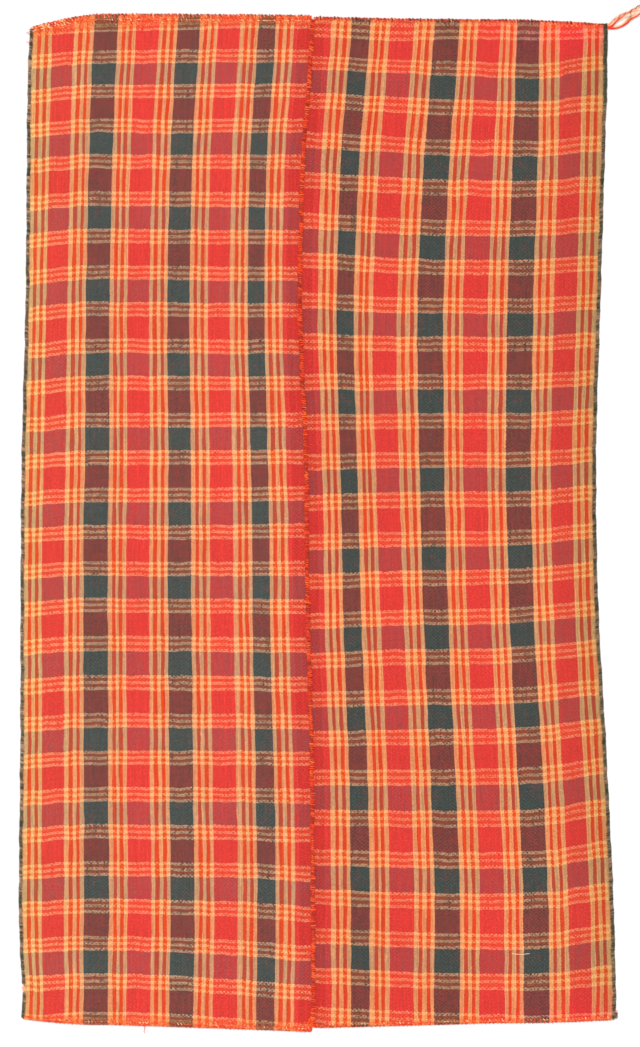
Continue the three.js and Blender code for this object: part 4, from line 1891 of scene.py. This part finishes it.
@dataclass
class Tassel:
    """The loose yarn tassel at the top right corner."""

    bundles: tuple[Bundle, ...] = (UPPER_BUNDLE, INNER_BUNDLE, LOWER_BUNDLE)
    hairs: int = 120
    steps: int = 56

    def lane_line(self, places: Places, lane: float, spread: float, share: float) -> np.ndarray:
        """Gives a strand's line on the cutting sheet.

        Args:
            places: The bundle's line.
            lane: The strand's place beside it.
            spread: How much further out it goes towards its end.
            share: How much of the bundle's length it has.

        Returns:
            Its distances from the left and down.
        """
        whole = smooth_path(np.array(places, float), 200)
        line = smooth_path(whole[: max(8, int(200 * share))], self.steps)
        ahead = np.gradient(line, axis=0)
        ahead /= np.linalg.norm(ahead, axis=1, keepdims=True)
        right = np.stack([-ahead[:, 1], ahead[:, 0]], 1)
        steps = np.concatenate([[0], np.cumsum(np.linalg.norm(np.diff(line, axis=0), axis=1))])
        near = np.clip(steps / 16, 0, 1)
        out = np.clip((steps / steps[-1] - 0.45) / 0.55, 0, 1)
        offset = lane * (0.4 + 0.6 * near * near * (3 - 2 * near))
        offset = offset + spread * out * out * (3 - 2 * out)
        return line + right * offset[:, None]

    def ply(self, shape: Shape, line: np.ndarray, up: np.ndarray, tone: np.ndarray,
            radius: float) -> None:
        """Adds a two-ply yarn.

        Args:
            shape: Where it is gathered.
            line: Its distances from the left and down.
            up: Its heights.
            tone: Its shade at each point.
            radius: Its radius.
        """
        middle = GROUND.place(line[:, 0], line[:, 1], up)
        reach = np.cumsum(np.linalg.norm(np.gradient(middle, axis=0), axis=1))
        turn = reach / 0.0052 * 2 * math.pi
        ahead = np.gradient(middle, axis=0)
        ahead /= np.linalg.norm(ahead, axis=1, keepdims=True)
        side = np.cross(ahead, [0, 0, 1.0])
        side /= np.maximum(np.linalg.norm(side, axis=1, keepdims=True), 1e-9)
        over = np.cross(side, ahead)
        for half in (0.0, math.pi):
            swing = side * np.cos(turn + half)[:, None] + over * np.sin(turn + half)[:, None]
            taper = np.linspace(1.0, 0.6, len(middle)) * radius * 0.62 / 1000
            shade = np.clip(tone + 0.08 * (half > 0), 0, 1)
            shape.tube(middle + swing * radius * 0.5 / 1000, taper, 5, shade)

    def strands(self, yarn: Material) -> Thing:
        """Builds the yarns of the tassel.

        Args:
            yarn: Their finish.

        Returns:
            The finished piece.
        """
        shape = Shape()
        pick = random.Random(5)
        for bundle in self.bundles:
            for strand in bundle.strands:
                line = self.lane_line(bundle.places, strand.lane, strand.spread, strand.share)
                wave = np.sin(np.linspace(0, pick.uniform(7, 12), self.steps) + pick.random() * 6)
                line = line + wave[:, None] * np.array([0.25, 0.35])
                lift = 0.35 * np.sin(np.linspace(0, 9, self.steps) + pick.random() * 6)
                tone = np.interp(np.linspace(0, 1, self.steps), (0, 0.5, 1), strand.shades)
                tone = tone + 0.12 * np.sin(np.linspace(0, 31, self.steps) + pick.random() * 6)
                self.ply(shape, line, bundle.up + lift, np.clip(tone, 0, 1), strand.radius)
        return settle(
            shape.finish("tassel_strands", yarn), "tassel_yarn", "corner_tassel"
        )

    def hair(self, yarn: Material) -> Thing:
        """Builds the loose pale hairs that fill and surround the strands.

        Args:
            yarn: Their finish.

        Returns:
            The finished piece.
        """
        shape = Shape()
        pick = random.Random(17)
        for index in range(self.hairs):
            upper = index % 3 > 0
            bundle = self.bundles[0] if upper else self.bundles[2]
            lane = pick.gauss(3.0, 2.2) if upper else pick.gauss(-2.0, 1.6)
            spread = pick.gauss(5.0, 4.0) if upper else pick.gauss(-5.0, 3.0)
            line = self.lane_line(bundle.places, lane, spread, pick.uniform(0.7, 1.0))
            line = line[pick.randint(2, 22):]
            phase = pick.random() * 6
            wave = np.sin(np.linspace(0, pick.uniform(5, 16), len(line)) + phase)
            line = line + wave[:, None] * np.array([0.5, 0.8])
            up = 1.1 + 0.8 * np.sin(np.linspace(0, 5, len(line)) + phase)
            path = GROUND.place(line[:, 0], line[:, 1], np.maximum(up, 0.3))
            shape.tube(path, pick.uniform(0.00018, 0.00034), 3, pick.random())
        return settle(shape.finish("tassel_hair", yarn), "tassel_yarn")

    def knot(self, yarn: Material) -> Thing:
        """Builds the root: a few turns of yarn over a soft core that thins into the strands.

        Args:
            yarn: Its finish.

        Returns:
            The finished piece.
        """
        shape = Shape()
        core = np.array([(1203.8, 24.4), (1208, 24.8), (1213, 25.2), (1219, 25.6)], float)
        line = smooth_path(core, 12)
        swell = np.array([2.9, 3.3, 3.4, 3.3, 3.1, 2.8, 2.5, 2.2, 1.9, 1.6, 1.2, 0.7]) / 1000
        tones = np.linspace(0.12, 0.0, 12)
        shape.tube(GROUND.place(line[:, 0], line[:, 1], np.full(12, 1.2)), swell, 9, tones, 0.33)
        pick = random.Random(29)
        for index in range(4):
            at = 1205.4 + index * 1.3
            width = 4.0 - 0.4 * index + pick.uniform(-0.3, 0.3)
            turn = np.linspace(-0.4, math.pi + 0.4, 14)
            left = at + pick.uniform(1.4, 3.0) * (turn / math.pi - 0.5)
            down = 24.2 + width * np.cos(turn)
            up = 1.1 + 1.2 * np.sin(turn)
            path = GROUND.place(left, down, np.maximum(up, 0.45))
            shape.tube(path, 0.0006, 5, pick.choice((0.02, 0.1, 0.3, 0.45)))
        return settle(shape.finish("tassel_knot", yarn), "tassel_yarn")

    def tie(self, yarn: Material) -> Thing:
        """Builds the thin brown yarn that crosses the tassel and winds round its upper bundle."""
        shape = Shape()
        crossing = np.array(
            [(1252.8, -7.5), (1251.5, -3.0), (1252.8, 1.0), (1251.6, 4.0), (1253, 7.5)], float
        )
        line = smooth_path(crossing, 24)
        path = GROUND.place(line[:, 0], line[:, 1], 3.0 + 0.4 * np.sin(np.linspace(0, 3.1, 24)))
        shape.tube(path, 0.0006, 5, 0.4)
        wound = self.lane_line(UPPER_BUNDLE.places, 0.6, 0.0, 0.95)
        turn = np.linspace(0, 46, len(wound) * 6)
        at = np.linspace(0, len(wound) - 1, len(turn))
        left, down = (np.interp(at, np.arange(len(wound)), wound[:, k]) for k in (0, 1))
        keep = slice(60, None)
        path = GROUND.place(
            (left + 0.5 * np.cos(turn))[keep],
            (down + 1.7 * np.cos(turn))[keep],
            (1.9 + 1.5 * np.sin(turn))[keep],
        )
        shape.tube(path, 0.0008, 5, 0.6)
        return settle(shape.finish("tassel_tie", yarn), "tassel_yarn")

    def build(self, fibre: Tree) -> list[Thing]:
        """Builds the whole tassel.

        Args:
            fibre: The yarn fibre group.

        Returns:
            Its pieces.
        """
        yarn = TASSEL_YARN.material(fibre)
        return [
            self.strands(yarn),
            self.hair(TASSEL_HAIR.material(fibre)),
            self.knot(yarn),
            self.tie(BROWN_YARN.material(fibre)),
        ]


Range = tuple[float, float]


@dataclass(frozen=True)
class Tangle:
    """Loops of yarn in a tangle, with the ranges of their sizes and of how far they stray.

    Sizes are in millimetres, but for the yarn's radius in metres, and turns in radians.
    """

    name: str
    slot: str
    seed: int
    loops: int
    place: Range
    turn: float
    steps: int
    widths: Range
    heights: Range
    stray_across: Range
    stray_down: Range
    up: float
    rise: float
    radius: float


SEAM_KNOT = Tangle(
    "seam_foot_knot", "seam_yarn", 8, 7, (596.5, 2064), 5.2, 22, (2.6, 6.2), (2.2, 5.4),
    (-2.5, 3.5), (-5, 4), 3.0, 1.2, 0.0008,
)
CORNER_TUFT = Tangle(
    "corner_tuft", "edging_yarn", 12, 9, (1221.4, 2052.5), 5.0, 20, (1.4, 3.0), (2.0, 4.2),
    (-1.2, 1.6), (-4, 4), 2.2, 1.0, 0.0007,
)


@dataclass
class LooseThreads:
    """The stray and frayed threads that stand off the cloth. Places are on the cutting sheet."""

    red: tuple[Places, ...] = (
        ((11.5, 38), (16, 37.2), (21, 38.4)),
        ((12.5, 55.5), (17, 56.5), (22, 55.8)),
        ((255, 2071), (255.8, 2078), (254.4, 2084), (255.4, 2088)),
        ((1213.5, 2033), (1219, 2037), (1224.5, 2045), (1222.5, 2052)),
        ((3.5, 1992), (6.5, 1996), (4.8, 2001)),
        ((7, 1988), (10, 1990.5), (12, 1996)),
    )
    pale: tuple[Places, ...] = (
        ((15, 34), (22, 28.5), (30, 27), (38, 21.5)),
        ((20, 31.5), (27, 33.5), (36, 27)),
        ((44, 22), (52, 19.5), (58, 14.5)),
        ((9.5, 676), (11.5, 677.4), (14.5, 677.2)),
        ((1.5, 1994), (7, 1991.5), (12.5, 1994.2)),
        ((1008, 1924.6), (1026, 1926), (1045, 1924.4)),
    )

    def gather(self, name: str, lines: tuple[Places, ...], up: float, radius: float,
               yarn: Material, seed: int) -> Thing:
        """Builds one colour of stray threads.

        Args:
            name: The piece's name.
            lines: Each thread's places.
            up: Their height.
            radius: Their radius in metres.
            yarn: Their finish.
            seed: Their order of shades.

        Returns:
            The finished piece.
        """
        shape = Shape()
        pick = random.Random(seed)
        for places in lines:
            line = smooth_path(np.array(places, float), 16)
            lift = up + 0.4 * np.sin(np.linspace(0, math.pi, 16))
            path = GROUND.place(line[:, 0], line[:, 1], lift)
            shape.tube(path, radius, 5, pick.random())
        return settle(shape.finish(name, yarn), "seam_yarn")

    def tangle(self, knot: Tangle, yarn: Material) -> Thing:
        """Builds a tangle of loops.

        Args:
            knot: Its place and sizes.
            yarn: Its finish.

        Returns:
            The finished piece.
        """
        shape = Shape()
        pick = random.Random(knot.seed)
        for _ in range(knot.loops):
            turn = np.linspace(0, knot.turn, knot.steps) + pick.random() * 6
            wide, tall = pick.uniform(*knot.widths), pick.uniform(*knot.heights)
            left = knot.place[0] + pick.uniform(*knot.stray_across) + wide * np.cos(turn)
            down = knot.place[1] + pick.uniform(*knot.stray_down) + tall * np.sin(turn)
            up = knot.up + pick.uniform(0, knot.rise) + 0.6 * np.sin(turn * 2)
            shape.tube(GROUND.place(left, down, up), knot.radius, 5, pick.random())
        return settle(shape.finish(knot.name, yarn), knot.slot)

    def build(self, fibre: Tree) -> list[Thing]:
        """Builds the stray threads, the seam's knot and the corner's tuft.

        Args:
            fibre: The yarn fibre group.

        Returns:
            The pieces.
        """
        red, pale = SEAM_YARN.material(fibre), TASSEL_HAIR.material(fibre)
        return [
            self.gather("red_stray_threads", self.red, 2.4, 0.0006, red, 3),
            self.gather("pale_stray_threads", self.pale, 3.0, 0.0005, pale, 4),
            self.tangle(SEAM_KNOT, red),
            self.tangle(CORNER_TUFT, EDGING_YARN.material(fibre)),
        ]


@dataclass
class Studio:
    """A pale floor, soft even light and a camera straight above the cloth."""

    middle_left: float = 615.0
    middle_down: float = 1043.0
    view_height: float = 2.14635
    lens: float = 85.0
    sensor: float = 36.0
    sky: float = 0.98
    lamp: float = 1.3

    def floor(self) -> None:
        """Lays the pale floor just under the cloth."""
        mesh = bpy.data.meshes.new("floor")
        mesh.from_pydata(
            [(-40, -40, -0.0004), (40, -40, -0.0004), (40, 40, -0.0004), (-40, 40, -0.0004)],
            [],
            [(0, 1, 2, 3)],
        )
        made, n, matt = new_material("Pale studio floor")
        place = n.add("ShaderNodeTexCoord").outputs["Object"]
        grain = n.noise(place, 2.0, 2.0)
        n.feed(matt.inputs["Base Color"], n.mix(grain, (0.86, 0.86, 0.86, 1), (0.9, 0.9, 0.9, 1)))
        matt.inputs["Roughness"].default_value = 1.0
        matt.inputs["Specular IOR Level"].default_value = 0.0
        mesh.materials.append(made)
        new_object("floor", mesh)

    def lights(self) -> None:
        """Sets an even sky and one broad soft lamp from the upper left."""
        world = bpy.data.worlds.new("Soft studio")
        bpy.context.scene.world = world
        world.use_nodes = True
        n = Nodes(world.node_tree)
        out, sky = n.add("ShaderNodeOutputWorld"), n.add("ShaderNodeBackground")
        sky.inputs[0].default_value = (1, 1, 1, 1)
        sky.inputs[1].default_value = self.sky
        n.feed(out.inputs[0], sky.outputs[0])
        lamp = bpy.data.lights.new("soft lamp", "SUN")
        lamp.energy = self.lamp
        lamp.angle = math.radians(28)
        holder = new_object("soft lamp", lamp)
        holder.rotation_euler = (math.radians(-30), math.radians(-24), 0)

    def camera(self) -> None:
        """Hangs the camera over the middle of the photograph's frame."""
        x, y, _ = GROUND.place(
            np.array([self.middle_left]), np.array([self.middle_down]), np.array([0.0])
        )[0]
        eye = bpy.data.cameras.new("camera")
        eye.lens, eye.sensor_width = self.lens, self.sensor
        eye.clip_start, eye.clip_end = 0.05, 60
        holder = new_object("camera", eye)
        holder.location = (x, y, self.view_height * self.lens / self.sensor + 0.002)
        bpy.context.scene.camera = holder
        bpy.context.scene.view_settings.view_transform = "Standard"

    def build(self) -> None:
        """Builds the floor, the lights and the camera."""
        self.camera()
        self.floor()
        self.lights()
        log.info("studio ready")


def wrap(name: str, spacing: float, radius: float, side: int, seed: int) -> StitchRow:
    """Describes the overcast wraps of an edging.

    Args:
        name: The row's name.
        spacing: The distance between wraps.
        radius: The yarn's radius.
        side: Minus one for the left edge and one for the right.
        seed: The row's seed.

    Returns:
        The row of wraps.
    """
    return StitchRow(
        name=name,
        slot="edging_yarn",
        spacing=spacing,
        radius=radius,
        entry=(-1.0, 2.5 * side, 0.6),
        crown=(0.0, 0.2 * side, 5.4),
        exit=(1.2, (-3.9 if side < 0 else -4.2) * side, 1.5),
        seed=seed,
        swing=0.22,
        smallest=0.8,
        largest=1.15,
    )


def build_bands(tree: StitchTree, fibre: Tree) -> list[Thing]:
    """Builds the joining seam and the edging of both sides.

    Args:
        tree: The stitch tree.
        fibre: The yarn fibre group.

    Returns:
        The pieces.
    """
    seam = Band(
        "joining_seam_yarn", "joining_seam", "seam_yarn", Run.SEAM, 11, 2074, 0.0, 8.4, 2.5,
        (
            StitchRow("seam_under_stitches", "seam_yarn", 3.9, 1.1, (1.5, -4.7, 1.5),
                      (0.0, -0.4, 4.8), (-1.5, 3.4, 1.5), 61, 0.3, 0.6, 1.1),
            StitchRow("seam_over_stitches", "seam_yarn", 4.6, 1.3, (-1.2, -3.6, 1.6),
                      (0.0, 0.2, 6.2), (1.2, 4.3, 1.6), 62, 0.35, 0.6, 1.12),
        ),
        0.5,
    )
    left = Band(
        "left_edging", "edging_left", "edging_yarn", Run.LEFT_EDGE, 30, 1987, 3.0, 5.6, 2.3,
        (wrap("left_edging_wraps", 2.7, 1.1, -1, 71),), 0.45,
    )
    stub = Band(
        "left_edging_end", "edging_left_end", "edging_yarn", Run.LEFT_EDGE, 2005, 2056, 3.0,
        5.6, 2.3, (wrap("left_edging_end_wraps", 2.7, 1.1, -1, 72),), 0.3,
    )
    right = Band(
        "right_edging", "edging_right", "edging_yarn", Run.RIGHT_EDGE, 19, 2057, -3.0, 6.0, 2.3,
        (wrap("right_edging_wraps", 2.7, 1.1, 1, 73),), 0.45,
    )
    # deep is the seam yarn darkened as painted shade, for the core and the under stitches.
    deep, bright = SEAM_SHADOW_YARN.material(fibre), SEAM_YARN.material(fibre)
    green, faded = EDGING_YARN.material(fibre), RIGHT_EDGING_YARN.material(fibre)
    made = seam.build(tree, deep, (deep, bright))
    made += left.build(tree, green, (green,))
    made += stub.build(tree, green, (green,))
    made += right.build(tree, faded, (faded,))
    fresh = wrap("right_edging_top_wraps", 2.4, 1.2, 1, 74)
    made.append(fresh.sew(tree, [right.line(0.5, 0.5)[:34]], FRESH_EDGING_YARN.material(fibre)))
    return made


def main() -> None:
    """Builds the studio, the cloth, its sewing and its tassel, in that order."""
    logging.basicConfig(level=logging.INFO, format="%(name)s: %(message)s")
    Studio().build()
    groups = WeaveGroups()
    tree = StitchTree()
    panels = (left_panel(), right_panel())
    sheets = [panel.build(groups) for panel in panels]
    bands = build_bands(tree, groups.fibre)
    rows = sew_hems(tree, groups.fibre, panels)
    Tassel().build(groups.fibre)
    LooseThreads().build(groups.fibre)
    log.info("%d pieces along the seam and the edges", len(bands))


if __name__ == "__main__":
    main()
